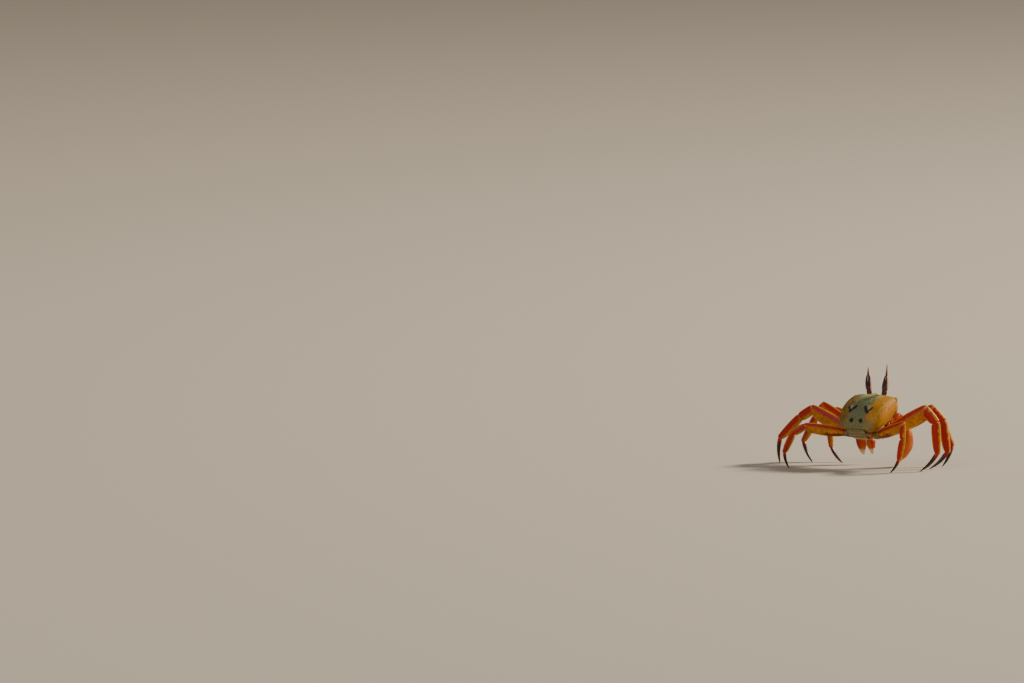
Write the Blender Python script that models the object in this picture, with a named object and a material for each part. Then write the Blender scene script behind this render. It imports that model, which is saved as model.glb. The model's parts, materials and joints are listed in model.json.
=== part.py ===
"""A horned ghost crab (Ocypode ceratophthalmus), life size, standing alert on its eight walking legs.

Metres, +Z up. The crab faces -Y and its left side is +X. The origin is on the floor, under the middle
of the crab's box. The body is built in its own frame (across to the left, along to the front, up through
the back) and is pitched up by BODY_PITCH. Each leg hangs from its hip on a chain of headings and slopes,
and its last segment is turned until its tip stands on the floor.
"""

import math

import bmesh
import bpy
from mathutils import Vector

MM = 0.001
GAP = 0.00032  # left between two pieces that touch

# Body
BODY_PITCH = math.radians(24)  # the front is carried this much higher than the rear
BODY_HEIGHT = 37 * MM  # of the body frame's origin, amidships at the level of the hips
REAR = -21.5 * MM
BOX_FLOOR = 6.0 * MM  # the carapace's lower edge over the hips
REAR_UNDERCUT = 0.85  # slope of the rear wall below the hind margin
REAR_BEVEL = 0.5 * MM

# Stations of the carapace: along, half width, height on the midline, height of the side margin
CARAPACE_STATIONS = (
    (-21.5 * MM, 14.4 * MM, 13.6 * MM, 12.4 * MM),
    (-18.0 * MM, 19.4 * MM, 18.4 * MM, 14.6 * MM),
    (-12.0 * MM, 23.4 * MM, 24.2 * MM, 18.2 * MM),
    (-4.0 * MM, 25.0 * MM, 28.0 * MM, 21.6 * MM),
    (5.0 * MM, 25.2 * MM, 29.2 * MM, 24.0 * MM),
    (13.0 * MM, 25.0 * MM, 28.8 * MM, 24.4 * MM),
    (18.6 * MM, 24.2 * MM, 27.4 * MM, 23.6 * MM),
)
BOX_FOOT = 0.74  # half width of the box floor, as a part of the half width
BACK_SQUARENESS = 2.5  # of the back's curve from side to side: 2 is an ellipse
FRONT_LOBE = 3.4 * MM  # half width of the narrow front between the eyes
# Rings that shape the front: name, reach of the ring's foot in millimetres, and how much it is narrowed
FRONT_LEVELS = (
    ("edge", 15.0, 1),
    ("roof", 15.5, 0.98),
    ("pit", 15.9, 0.95),
    ("ridge", 16.3, 0.93),
    ("cheek", 16.6, 0.84),
    ("frame", 16.9, 0.70),
)

# Legs: hip (across, along, up), lengths of the four segments, and the girth that their rows are parts of
HIP_LENGTH = 8 * MM  # coxa and ischium
HIP_SLOPE = math.radians(8)
LEG_SIZES = {
    "leg_1": ((16.0, 8.0, 0.0), (38.0, 15.0, 25.5, 22.0), 12.0),
    "leg_2": ((17.5, 1.0, 0.0), (39.8, 15.2, 29.5, 23.0), 13.0),
    "leg_3": ((16.0, -6.0, 0.0), (42.4, 15.2, 29.4, 23.3), 13.0),
    "leg_4": ((13.0, -12.0, 0.6), (38.2, 12.8, 19.8, 15.6), 9.6),
}
# Pose in degrees: headings of the merus and of what follows it, forward of straight sideways, then
# the slopes of merus, carpus and propodus
LEG_POSES = {
    "leg_1_left": (21, 12, 11, -37, -99),
    "leg_2_left": (9, 10, 23, -45, -55),
    "leg_3_left": (-4, -12, 23.5, -31, -44.5),
    "leg_4_left": (-37, -41, 8.5, -30, -66),
    "leg_1_right": (56, 58, 20, -52, -64),
    "leg_2_right": (41, 42, 26, -47, -82),
    "leg_3_right": (17, 28, 31, -48, -87),
    "leg_4_right": (-18, 12, 17, -88, -102),
}

# Claws: hip, elbow, wrist and tip of the claw, as (across, ahead, above the floor), then its height
CLAW_HIP = (11.2, 13.4, 1.0)
CLAWS = {
    "left": {
        "elbow": (24.0, 21.5, 50.0),
        "wrist": (29.5, 27.5, 45.0),
        "tips": (22.6, 27.0, 10.2),
        "bow": 0.6,
        "palm_height": 20.5,
        "palm_thickness": 10.5,
        "upper_side": (-0.80, 0.60),
        "gape": 1.0,
    },
    "right": {
        "elbow": (16.6, 23.0, 48.5),
        "wrist": (22.2, 29.0, 37.5),
        "tips": (12.6, 28.6, 4.8),
        "bow": 6.4,
        "palm_height": 16.4,
        "palm_thickness": 9.0,
        "upper_side": (-0.42, 0.91),
        "gape": 0.12,
    },
}

# Eyes: the stalk's foot and the horn's tip as (across, ahead, above the floor)
EYE_FOOT = (6.3, 9.0, 59.6)
EYE_TIP = (11.0, 10.9, 98.2)
EYE_BOW = 1.3  # how far the stalk bows outwards on its way up
STALK_END, CORNEA_END = 0.36, 0.72  # where stalk and cornea end, from foot to tip
HORN_CUT = {"left": 0.36, "right": 0.0}  # the left horn is worn shorter, by this part of its length

COLOURS = {
    "shell": ((0.42, 0.36, 0.10), 0.45),
    "underside": ((0.62, 0.50, 0.30), 0.50),
    "leg": ((0.50, 0.10, 0.015), 0.40),
    "toe": ((0.05, 0.012, 0.010), 0.35),
    "claw": ((0.70, 0.18, 0.02), 0.40),
    "eyestalk": ((0.55, 0.32, 0.24), 0.40),
    "cornea": ((0.06, 0.02, 0.02), 0.12),
    "horn": ((0.40, 0.20, 0.08), 0.40),
}


def material(name):
    """The Principled BSDF of this colour, made once."""
    made = bpy.data.materials.get(name)
    if made is None:
        colour, roughness = COLOURS[name]
        made = bpy.data.materials.new(name)
        made.use_nodes = True
        shader = made.node_tree.nodes["Principled BSDF"]
        shader.inputs["Base Color"].default_value = (*colour, 1)
        shader.inputs["Roughness"].default_value = roughness
        shader.inputs["Metallic"].default_value = 0
    return made


def smooth_value(stations, where, column):
    """A column of the stations at `where`, on a smooth curve through them."""
    places = [row[0] for row in stations]
    values = [row[column] for row in stations]
    last = len(places) - 1
    i = min(max(sum(place <= where for place in places) - 1, 0), last - 1)
    low, high = max(i - 1, 0), min(i + 2, last)
    step = places[i + 1] - places[i]
    part = min(max((where - places[i]) / step, 0), 1)
    slope_in = (values[i + 1] - values[low]) / (places[i + 1] - places[low])
    slope_out = (values[high] - values[i]) / (places[high] - places[i])
    return (
        values[i] * (1 + 2 * part) * (1 - part) ** 2
        + values[i + 1] * (3 - 2 * part) * part**2
        + slope_in * step * part * (1 - part) ** 2
        - slope_out * step * (1 - part) * part**2
    )


def in_body(across, along, up):
    """A point of the body frame in the crab's frame."""
    ahead = along * math.cos(BODY_PITCH) - up * math.sin(BODY_PITCH)
    above = along * math.sin(BODY_PITCH) + up * math.cos(BODY_PITCH)
    return Vector((across, -ahead, BODY_HEIGHT + above))


def in_room(side, place):
    """A point (across, ahead, above) in millimetres, on the left (1) or right (-1)."""
    across, ahead, above = place
    return Vector((side * across, -ahead, above)) * MM


def heading_slope(side, heading, slope):
    """The unit vector of a limb, and the one square to it that points to its back, in the limb's plane."""
    out = Vector((side * math.cos(heading), -math.sin(heading), 0))
    rise = Vector((0, 0, 1))
    direction = out * math.cos(slope) + rise * math.sin(slope)
    back = rise * math.cos(slope) - out * math.sin(slope)
    return direction, back


def extruded(rings):
    """A closed mesh: a cap on the first ring, extruded from each ring to the next."""
    mesh = bmesh.new()
    cap = mesh.faces.new([mesh.verts.new(point) for point in rings[0]])
    for i, ring in enumerate(rings[1:]):
        made = bmesh.ops.extrude_face_region(mesh, geom=[cap])["geom"]
        if i > 0:
            bmesh.ops.delete(mesh, geom=[cap], context="FACES_ONLY")
        cap = next(item for item in made if isinstance(item, bmesh.types.BMFace))
        for corner, point in zip(cap.verts, ring):
            corner.co = point
    bmesh.ops.recalc_face_normals(mesh, faces=mesh.faces)
    return mesh


def add_object(name, mesh, colour):
    """The named node of a finished bmesh."""
    data = bpy.data.meshes.new(name)
    mesh.to_mesh(data)
    mesh.free()
    data.shade_smooth()
    data.set_sharp_from_angle(angle=math.radians(50))
    data.materials.append(material(colour))
    piece = bpy.data.objects.new(name, data)
    bpy.context.scene.collection.objects.link(piece)
    piece.parent = root
    return piece


def leaf_section(count, ridge):
    """Points (height, thickness) round a limb: an oval with a ridge along its back of sharpness 0 to 1."""
    points = []
    for i in range(count):
        angle = math.tau * i / count
        height, width = math.cos(angle), math.sin(angle)
        pinch = 1 - ridge * max(height, 0) ** 2 * 0.75 - 0.15 * ridge * max(-height, 0) ** 3
        points.append((0.5 * height, 0.5 * width * pinch))
    return points


def limb_rings(start, end, planes, back, stations, section, lift=0):
    """Rings of a limb segment. Each station is (part of the way, height, thickness, shift to the back).

    The end rings lie in the given planes, so that two segments meet face to face.
    """
    axis = (end - start).normalized()
    side = axis.cross(back).normalized()
    first, last = planes
    start = start + axis * (0.5 * GAP / axis.dot(first))
    end = end - axis * (0.5 * GAP / axis.dot(last))
    rings = []
    for part, height, thickness, shift in stations:
        arch = lift * math.sin(math.pi * part)
        centre = start.lerp(end, part) + back * (shift + arch)
        if part < 0.5:
            normal = first.lerp(axis, min(part / 0.4, 1)).normalized()
        else:
            normal = last.lerp(axis, min((1 - part) / 0.4, 1)).normalized()
        ring = []
        for up, across in section:
            offset = back * (up * height) + side * (across * thickness)
            ring.append(centre + offset - axis * (offset.dot(normal) / axis.dot(normal)))
        rings.append(ring)
    return rings


def stations_in(girth, rows):
    """Stations in metres from rows whose last three values are parts of the leg's girth."""
    return [(part, *(value * girth for value in values)) for part, *values in rows]


# Rows of (part of the way, height, thickness, shift), as parts of the leg's girth
HIP_ROWS = (
    (0.0, 0.44, 0.30, 0.0),
    (0.10, 0.68, 0.44, 0.0),
    (0.36, 0.80, 0.50, 0.0),
    (0.78, 0.66, 0.40, 0.0),
)
MERUS_ROWS = (
    (0.04, 0.76, 0.42, 0.0),
    (0.16, 1.0, 0.46, -0.01),
    (0.42, 1.18, 0.47, -0.03),
    (0.70, 1.15, 0.46, -0.03),
    (0.88, 1.0, 0.45, -0.02),
    (0.97, 0.82, 0.44, -0.01),
    (1.0, 0.64, 0.36, 0.0),
)
CARPUS_ROWS = (
    (0.0, 0.62, 0.34, 0.0),
    (0.10, 0.78, 0.42, 0.01),
    (0.50, 0.80, 0.43, 0.01),
    (0.86, 0.75, 0.41, 0.0),
    (1.0, 0.60, 0.34, 0.0),
)
PROPODUS_ROWS = (
    (0.0, 0.58, 0.32, 0.0),
    (0.08, 0.71, 0.37, 0.0),
    (0.40, 0.73, 0.37, 0.0),
    (0.80, 0.62, 0.33, 0.0),
    (0.96, 0.49, 0.31, 0.0),
    (1.0, 0.38, 0.26, 0.0),
)
DACTYL_ROWS = (
    (0.0, 0.29, 0.20, 0.0),
    (0.07, 0.36, 0.26, 0.0),
    (0.35, 0.31, 0.22, 0.0),
    (0.65, 0.22, 0.16, 0.0),
    (0.88, 0.13, 0.11, 0.0),
    (1.0, 0.075, 0.075, 0.0),
)


def build_leg(name, side):
    """Thigh (coxa, ischium and merus), carpus, propodus and dactyl of one walking leg."""
    hip, lengths, girth = LEG_SIZES[name]
    label = f"{name}_{'left' if side > 0 else 'right'}"
    upper_heading, lower_heading, *slopes = [math.radians(angle) for angle in LEG_POSES[label]]
    girth = girth * MM
    lengths = [length * MM for length in lengths]
    headings = (upper_heading, (upper_heading + lower_heading) / 2, lower_heading)
    joints = [in_body(side * hip[0] * MM, hip[1] * MM, hip[2] * MM)]
    hip_direction, hip_back = heading_slope(side, upper_heading, HIP_SLOPE)
    joints.append(joints[0] + hip_direction * HIP_LENGTH)
    directions, backs = [hip_direction], [hip_back]
    for heading, slope, length in zip(headings, slopes, lengths):
        direction, back = heading_slope(side, heading, slope)
        directions.append(direction)
        backs.append(back)
        joints.append(joints[-1] + direction * length)
    # The dactyl leans inwards by as much as brings its tip down to the floor.
    reach = min(joints[-1].z / lengths[3], 1)
    direction, back = heading_slope(side, lower_heading, math.asin(reach) - math.pi)
    directions.append(direction)
    backs.append(back)
    joints.append(joints[-1] + direction * (joints[-1].z / reach))
    planes = [directions[0]]
    planes += [(near + far).normalized() for near, far in zip(directions, directions[1:])]
    planes.append(Vector((0, 0, -1)))

    section = leaf_section(10, 0.75)
    hip_rows = stations_in(girth, HIP_ROWS)
    rounded = leaf_section(10, 0.1)
    thigh = limb_rings(joints[0], joints[1], (planes[0], directions[0]), backs[0], hip_rows, rounded)
    merus_rows = stations_in(girth, MERUS_ROWS)
    thigh += limb_rings(joints[1], joints[2], (directions[1], planes[2]), backs[1], merus_rows, section)
    add_object(f"{label}_thigh", extruded(thigh), "leg")
    names = ("carpus", "propodus", "dactyl")
    rows = (CARPUS_ROWS, PROPODUS_ROWS, DACTYL_ROWS)
    sections = (leaf_section(10, 0.6), leaf_section(10, 0.55), leaf_section(8, 0.3))
    lifts = (0.0, 0.0, 0.075 * lengths[3])
    for i, (piece, piece_rows, piece_section, lift) in enumerate(zip(names, rows, sections, lifts)):
        start, end = joints[i + 2], joints[i + 3]
        stations = stations_in(girth, piece_rows)
        rings = limb_rings(start, end, planes[i + 2 : i + 4], backs[i + 2], stations, piece_section, lift)
        if piece == "dactyl":
            for corner in rings[-1]:
                corner.z = 0
        add_object(f"{label}_{piece}", extruded(rings), "toe" if piece == "dactyl" else "leg")


# Rows of a palm: part of the way from wrist to tips, height as a part of the palm height, and
# thickness as a part of the palm thickness
PALM_ROWS = (
    (0.0, 0.34, 0.60),
    (0.05, 0.56, 0.80),
    (0.15, 0.80, 0.95),
    (0.30, 0.97, 1.0),
    (0.44, 1.0, 0.98),
    (0.54, 0.97, 0.90),
    (0.575, 0.90, 0.84),
)
# Rows of a finger: the same, with how far its biting edge stands off the middle in a wide gape
LOWER_FINGER_ROWS = (
    (0.59, 0.44, 0.66, 0.0),
    (0.68, 0.44, 0.62, 0.0),
    (0.78, 0.40, 0.52, 0.0),
    (0.87, 0.27, 0.42, 0.09),
    (0.94, 0.17, 0.30, 0.14),
    (1.0, 0.07, 0.14, 0.165),
)
UPPER_FINGER_ROWS = (
    (0.60, 0.36, 0.58, 0.02),
    (0.64, 0.43, 0.64, 0.0),
    (0.72, 0.42, 0.60, 0.0),
    (0.80, 0.36, 0.50, 0.01),
    (0.88, 0.25, 0.40, 0.09),
    (0.95, 0.15, 0.28, 0.13),
    (1.0, 0.06, 0.14, 0.15),
)


def claw_rings(side, claw, first, rows, finger):
    """Rings from wrist to tips: of the palm, or of the lower (-1) or upper (1) finger."""
    wrist, tips = in_room(side, claw["wrist"]), in_room(side, claw["tips"])
    height_of, thickness_of = claw["palm_height"] * MM, claw["palm_thickness"] * MM
    axis = (tips - wrist).normalized()
    across, ahead = claw["upper_side"]
    upper = Vector((side * across, -ahead, 0))
    upper = (upper - axis * upper.dot(axis)).normalized()
    outer = axis.cross(upper)
    bow = Vector((side, 0, 0))
    bow = (bow - axis * bow.dot(axis)) * (claw["bow"] * MM)
    rings = []
    for part, height, thickness, *parting in rows:
        centre = wrist.lerp(tips, part) + bow * math.sin(math.pi * part) + axis * GAP
        if finger:
            edge = 0.5 * height + claw["gape"] * parting[0]
            centre += upper * (finger * (edge * height_of + 0.25 * MM)) + axis * (GAP * finger)
        normal = first.lerp(axis, min(part / 0.16, 1)).normalized()
        ring = []
        for up, wide in leaf_section(12, 0.3):
            offset = upper * (up * height * height_of) + outer * (wide * thickness * thickness_of)
            ring.append(centre + offset - axis * (offset.dot(normal) / axis.dot(normal)))
        rings.append(ring)
    return rings


def build_claw(side):
    """Arm, wrist, palm with its fixed finger, and movable finger of one claw-bearing leg."""
    label = "left" if side > 0 else "right"
    claw = CLAWS[label]
    hip = in_body(side * CLAW_HIP[0] * MM, CLAW_HIP[1] * MM, CLAW_HIP[2] * MM)
    elbow, wrist = in_room(side, claw["elbow"]), in_room(side, claw["wrist"])
    tips = in_room(side, claw["tips"])
    directions = [(far - near).normalized() for near, far in ((hip, elbow), (elbow, wrist), (wrist, tips))]
    planes = [(near + far).normalized() for near, far in zip(directions, directions[1:])]
    height = 0.43 * claw["palm_height"] * MM + 1.2 * MM
    rise = Vector((0, 0, 1))
    arm_back = (rise - directions[0] * rise.z * directions[0].z).normalized()
    arm_rows = (
        (0.0, 0.56 * height, 0.50 * height, 0),
        (0.08, 0.84 * height, 0.76 * height, 0),
        (0.26, 0.92 * height, 0.80 * height, 0),
        (0.40, 0.78 * height, 0.68 * height, 0),
        (0.66, 0.98 * height, 0.76 * height, 0),
        (0.92, 0.94 * height, 0.74 * height, 0),
        (1.0, 0.70 * height, 0.56 * height, 0),
    )
    arm = limb_rings(hip, elbow, (directions[0], planes[0]), arm_back, arm_rows, leaf_section(10, 0.35))
    add_object(f"claw_{label}_arm", extruded(arm), "claw")
    wrist_back = (rise - directions[1] * directions[1].z).normalized()
    wrist_rows = (
        (0.0, 0.62 * height, 0.56 * height, 0),
        (0.15, 0.90 * height, 0.84 * height, 0),
        (0.50, 1.12 * height, 1.02 * height, 0),
        (0.85, 0.96 * height, 0.90 * height, 0),
        (1.0, 0.66 * height, 0.62 * height, 0),
    )
    wrist_rings = limb_rings(elbow, wrist, planes, wrist_back, wrist_rows, leaf_section(10, 0.2))
    add_object(f"claw_{label}_wrist", extruded(wrist_rings), "claw")
    palm = claw_rings(side, claw, planes[1], PALM_ROWS, 0)
    palm += claw_rings(side, claw, planes[1], LOWER_FINGER_ROWS, -1)
    add_object(f"claw_{label}_palm", extruded(palm), "claw")
    finger = claw_rings(side, claw, planes[1], UPPER_FINGER_ROWS, 1)
    add_object(f"claw_{label}_finger", extruded(finger), "claw")


def rear_undercut(up):
    """How far forward of the hind margin the rear wall lies at this height."""
    return REAR_UNDERCUT * max(0, 12 * MM - up)


def front_edge(across):
    """How far the upper edge of the front reaches: a lobe on the midline, two hollow orbits, two teeth."""
    across = abs(across)
    lobe = 3.4 * MM * math.exp(-((across / FRONT_LOBE) ** 4))
    tooth = 3.0 * MM * max(0, (across - 18 * MM) / (6.6 * MM)) ** 2
    return 18.4 * MM + lobe + tooth


def carapace_ring(along, shrink=0.0, drop=0.0):
    """One loop round the carapace: over the back, down the side, across the flat floor."""
    half, crown, margin = (smooth_value(CARAPACE_STATIONS, along, column) for column in (1, 2, 3))
    half, crown, margin = half - shrink, crown - drop, margin - 0.5 * drop
    foot = BOX_FOOT * half
    points = []
    back_points, wall_points, floor_points = 23, 3, 3
    for i in range(back_points):
        place = 2 * i / (back_points - 1) - 1
        part = abs(place) ** 1.25
        rise = (1 - part**BACK_SQUARENESS) ** (1 / BACK_SQUARENESS)
        points.append((half * math.copysign(part, place), margin + (crown - margin) * rise))
    for i in range(1, wall_points + 1):
        part = i / wall_points
        points.append((half - (half - foot) * part**2.4, margin - (margin - BOX_FLOOR) * part))
    for i in range(1, floor_points + 1):
        points.append((foot - 2 * foot * i / (floor_points + 1), BOX_FLOOR))
    for i in range(wall_points, 0, -1):
        part = i / wall_points
        points.append((-half + (half - foot) * part**2.4, margin - (margin - BOX_FLOOR) * part))
    return points


def build_carapace():
    """The back shell with its side walls, front lobe, orbits and corner teeth, as one closed box."""
    rings = []
    for bevel in (REAR_BEVEL, 0):
        ring = []
        for across, up in carapace_ring(REAR, 2.2 * bevel, 2.6 * bevel):
            ring.append(in_body(across, REAR - bevel + rear_undercut(up), up))
        rings.append(ring)
    for along in (-19.6, -17.0, -14.0, -10.0, -5.5, -1.0, 4.0, 9.0, 14.0):
        part = max(0, (-10 - along) / 11.5)
        ring = []
        for across, up in carapace_ring(along * MM):
            ring.append(in_body(across, along * MM + part * rear_undercut(up), up))
        rings.append(ring)
    # The front: its edge, the hollow of the orbits under it, the ridge below them, then the mouth frame.
    margin = smooth_value(CARAPACE_STATIONS, 18.0 * MM, 3)
    for level, foot, narrowed in FRONT_LEVELS:
        ring = []
        for across, up in carapace_ring(18.0 * MM):
            low = min(max((margin - up) / (margin - BOX_FLOOR), 0), 1)
            lobe = math.exp(-((across / FRONT_LOBE) ** 4))
            flank = (across / (24 * MM)) ** 2
            reach, height = front_edge(across), up
            if level == "roof":
                reach += (lobe * 0.5 - (1 - lobe) * (3.4 - 1.6 * flank**2)) * MM
                height -= (1.8 + 2.2 * lobe) * MM
            if level == "pit":
                reach = (14.9 + 5.6 * lobe + 0.6 * flank) * MM
                height = (16.0 + 1.4 * lobe) * MM
            if level == "ridge":
                reach = (19.6 - 2.0 * flank) * MM
                height = (16.2 - 1.6 * flank) * MM
            if level == "cheek":
                reach = (18.0 - 1.8 * flank) * MM
                height = 12.2 * MM
            if level == "frame":
                reach = (17.4 - 2.2 * flank) * MM
                height = 8.0 * MM
            reach += (foot * MM - reach) * low
            height += (BOX_FLOOR - height) * low
            ring.append(in_body(across * narrowed, reach, height))
        rings.append(ring)
    add_object("carapace", extruded(rings), "shell")


# Belly line of the sternum: along, half width, height of its lower side
STERNUM_STATIONS = (
    (-18.8 * MM, 9.0 * MM, 4.2 * MM),
    (-17.0 * MM, 10.0 * MM, 1.8 * MM),
    (-14.5 * MM, 10.4 * MM, -0.4 * MM),
    (-10.0 * MM, 12.2 * MM, -2.4 * MM),
    (-4.0 * MM, 14.8 * MM, -3.6 * MM),
    (2.0 * MM, 15.4 * MM, -4.2 * MM),
    (7.0 * MM, 13.2 * MM, -4.2 * MM),
    (11.2 * MM, 7.8 * MM, -3.8 * MM),
    (15.2 * MM, 7.2 * MM, -3.2 * MM),
    (16.0 * MM, 6.4 * MM, -2.6 * MM),
)


def build_sternum():
    """The breastplate between the hips, up to the floor of the carapace."""
    rings = []
    for along, half, low in STERNUM_STATIONS:
        wall = 12 * MM - (along - REAR + REAR_BEVEL) / REAR_UNDERCUT - 0.4 * MM
        top = max(BOX_FLOOR, wall) - 2 * GAP
        ring = []
        for i in range(14):
            angle = math.tau * (i + 0.5) / 14
            across = half * math.copysign(abs(math.cos(angle)) ** 0.5, math.cos(angle))
            lift = math.copysign(abs(math.sin(angle)) ** 0.7, math.sin(angle))
            middle, reach = (top + low) / 2, (top - low) / 2
            ring.append(in_body(across, along, middle + min(lift / 0.98, 1) * reach))
        rings.append(ring)
    add_object("sternum", extruded(rings), "underside")


# Abdomen flap: along and up on its middle line, half width. It starts under the hind margin of the
# carapace and lies folded forward under the breastplate.
ABDOMEN_STATIONS = (
    (-22.3, 11.2, 10.4),
    (-21.9, 8.6, 11.0),
    (-21.2, 5.4, 10.6),
    (-19.4, 1.6, 9.4),
    (-16.4, -1.6, 7.4),
    (-10.0, -4.3, 5.6),
    (-4.0, -5.5, 4.6),
    (2.0, -6.0, 3.6),
    (7.0, -6.0, 2.2),
)
ABDOMEN_THICKNESS = 1.9 * MM


def build_abdomen():
    """The narrow tail flap of a male, folded forward under the body."""
    line = [Vector((0, along, up)) * MM for along, up, _ in ABDOMEN_STATIONS]
    rings = []
    for i, (middle, (_, _, half)) in enumerate(zip(line, ABDOMEN_STATIONS)):
        run = (line[min(i + 1, len(line) - 1)] - line[max(i - 1, 0)]).normalized()
        outward = Vector((0, run.z, -run.y))
        ring = []
        for j in range(12):
            angle = math.tau * (j + 0.5) / 12
            across = half * MM * math.copysign(abs(math.cos(angle)) ** 0.6, math.cos(angle))
            offset = outward * (0.5 * ABDOMEN_THICKNESS * math.sin(angle))
            ring.append(in_body(across, middle.y + offset.y, middle.z + offset.z))
        rings.append(ring)
    add_object("abdomen", extruded(rings), "underside")


MAXILLIPED_WIDTH, MAXILLIPED_THICKNESS = 8.0 * MM, 2.1 * MM
# Rows of the mouth plates: up, along (front face), half width as a part of the width
MAXILLIPED_ROWS = (
    (-1.8, 18.3, 0.36),
    (-0.8, 18.8, 0.43),
    (2.0, 19.4, 0.48),
    (6.0, 20.2, 0.50),
    (9.8, 20.9, 0.50),
    (12.2, 21.0, 0.47),
    (13.2, 20.9, 0.40),
)


def build_maxilliped(side):
    """One of the two plates that close the mouth like a pair of doors."""
    middle = side * (0.5 * MAXILLIPED_WIDTH + 0.5 * GAP)
    rings = []
    for up, along, part in MAXILLIPED_ROWS:
        half = part * MAXILLIPED_WIDTH
        ring = []
        for j in range(10):
            angle = math.tau * (j + 0.5) / 10
            across = middle + half * math.copysign(abs(math.cos(angle)) ** 0.4, math.cos(angle))
            depth = 0.5 * MAXILLIPED_THICKNESS * (math.sin(angle) - 1)
            ring.append(in_body(across, along * MM + depth, up * MM))
        rings.append(ring)
    add_object(f"maxilliped_{'left' if side > 0 else 'right'}", extruded(rings), "underside")


# Eye rows: part of the way from foot to tip, radius in millimetres
STALK_ROWS = ((0.0, 1.9), (0.06, 2.15), (0.13, 2.0), (0.21, 2.2), (0.29, 2.75), (STALK_END, 3.0))
CORNEA_ROWS = (
    (STALK_END, 2.7),
    (0.385, 3.15),
    (0.44, 3.4),
    (0.52, 3.3),
    (0.60, 2.85),
    (0.67, 2.2),
    (CORNEA_END, 1.5),
)
HORN_ROWS = ((CORNEA_END, 1.25), (0.76, 1.1), (0.84, 0.85), (0.92, 0.6), (0.98, 0.4), (1.0, 0.25))


def build_eye(side):
    """Stalk, cornea and the horn that the stalk carries on above it, raised upright."""
    foot, tip = in_room(side, EYE_FOOT), in_room(side, EYE_TIP)
    axis = (tip - foot).normalized()
    ahead = Vector((0, -1, 0))
    ahead = (ahead - axis * ahead.dot(axis)).normalized()
    label = "left" if side > 0 else "right"
    pieces = (
        ("eyestalk", STALK_ROWS, 12, 0.0),
        ("cornea", CORNEA_ROWS, 14, GAP),
        ("horn", HORN_ROWS, 8, 2 * GAP),
    )
    for name, rows, sides, raised in pieces:
        rings = []
        for part, radius in rows:
            if name == "horn":
                part -= (part - CORNEA_END) * HORN_CUT[label]
            bow = Vector((side * EYE_BOW * MM * math.sin(math.pi * part), 0, 0))
            centre = foot.lerp(tip, part) + bow + axis * raised
            ring = []
            for i in range(sides):
                angle = math.tau * i / sides
                spoke = ahead * math.cos(angle) + axis.cross(ahead) * math.sin(angle)
                ring.append(centre + spoke * (radius * MM))
            rings.append(ring)
        add_object(f"{name}_{label}", extruded(rings), name)


ANTENNA_LENGTH, ANTENNA_RADIUS = 6.0 * MM, 0.75 * MM


def build_antenna(side):
    """The short feeler in the inner corner of the orbit."""
    foot = in_body(side * 4.6 * MM, 20.4 * MM, 15.2 * MM)
    direction, back = heading_slope(side, math.radians(52), math.radians(-8))
    rings = []
    for part, size in ((0.0, 1.0), (0.2, 1.05), (0.45, 0.62), (0.75, 0.48), (1.0, 0.36)):
        centre = foot + direction * (part * ANTENNA_LENGTH) + back * (part**2 * 1.6 * MM)
        ring = []
        for i in range(8):
            angle = math.tau * i / 8
            spoke = back * math.cos(angle) + direction.cross(back) * math.sin(angle)
            ring.append(centre + spoke * (size * ANTENNA_RADIUS))
        rings.append(ring)
    add_object(f"antenna_{'left' if side > 0 else 'right'}", extruded(rings), "leg")


for old in list(bpy.data.objects):
    bpy.data.objects.remove(old, do_unlink=True)

root = bpy.data.objects.new("ghost_crab", None)
bpy.context.scene.collection.objects.link(root)

build_carapace()
build_sternum()
build_abdomen()
for left_or_right in (1, -1):
    build_maxilliped(left_or_right)
    build_eye(left_or_right)
    build_antenna(left_or_right)
    build_claw(left_or_right)
    for leg in LEG_SIZES:
        build_leg(leg, left_or_right)

# The origin goes under the middle of the box round all the pieces.
corners = [vertex.co for piece in root.children for vertex in piece.data.vertices]
root.location.x = -0.5 * (min(corner.x for corner in corners) + max(corner.x for corner in corners))
root.location.y = -0.5 * (min(corner.y for corner in corners) + max(corner.y for corner in corners))
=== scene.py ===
"""A horned ghost crab, life size, dressed as a museum model: shell, membranes, bristles and eyes."""

import json
import math

import bpy
import numpy as np
from mathutils import Matrix, Vector

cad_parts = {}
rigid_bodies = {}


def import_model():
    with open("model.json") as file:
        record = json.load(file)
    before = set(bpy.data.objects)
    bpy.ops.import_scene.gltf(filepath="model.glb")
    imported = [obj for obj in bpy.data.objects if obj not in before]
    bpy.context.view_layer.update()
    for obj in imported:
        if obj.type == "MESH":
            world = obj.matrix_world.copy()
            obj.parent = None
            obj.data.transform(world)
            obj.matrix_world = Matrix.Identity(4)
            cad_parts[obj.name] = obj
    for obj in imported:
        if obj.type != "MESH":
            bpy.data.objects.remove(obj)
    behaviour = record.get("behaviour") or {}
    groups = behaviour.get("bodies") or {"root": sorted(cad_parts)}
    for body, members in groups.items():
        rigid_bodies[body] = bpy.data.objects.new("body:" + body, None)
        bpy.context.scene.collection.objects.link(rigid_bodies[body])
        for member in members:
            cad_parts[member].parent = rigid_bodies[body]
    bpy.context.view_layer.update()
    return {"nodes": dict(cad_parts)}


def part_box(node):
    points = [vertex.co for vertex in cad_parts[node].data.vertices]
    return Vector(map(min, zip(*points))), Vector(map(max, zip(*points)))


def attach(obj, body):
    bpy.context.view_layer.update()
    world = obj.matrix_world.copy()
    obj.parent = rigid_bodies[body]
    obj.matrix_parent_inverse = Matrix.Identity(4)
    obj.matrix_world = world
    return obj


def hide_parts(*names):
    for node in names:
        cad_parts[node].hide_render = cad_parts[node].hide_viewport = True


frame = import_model()


# ---- Carapace ----
# The back shell is one stiff plate, glossy when wet and grained with fine granules. It covers the back
# and folds down the flanks to the hips. In front it ends in two hollow orbits and a narrow lobe.

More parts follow.
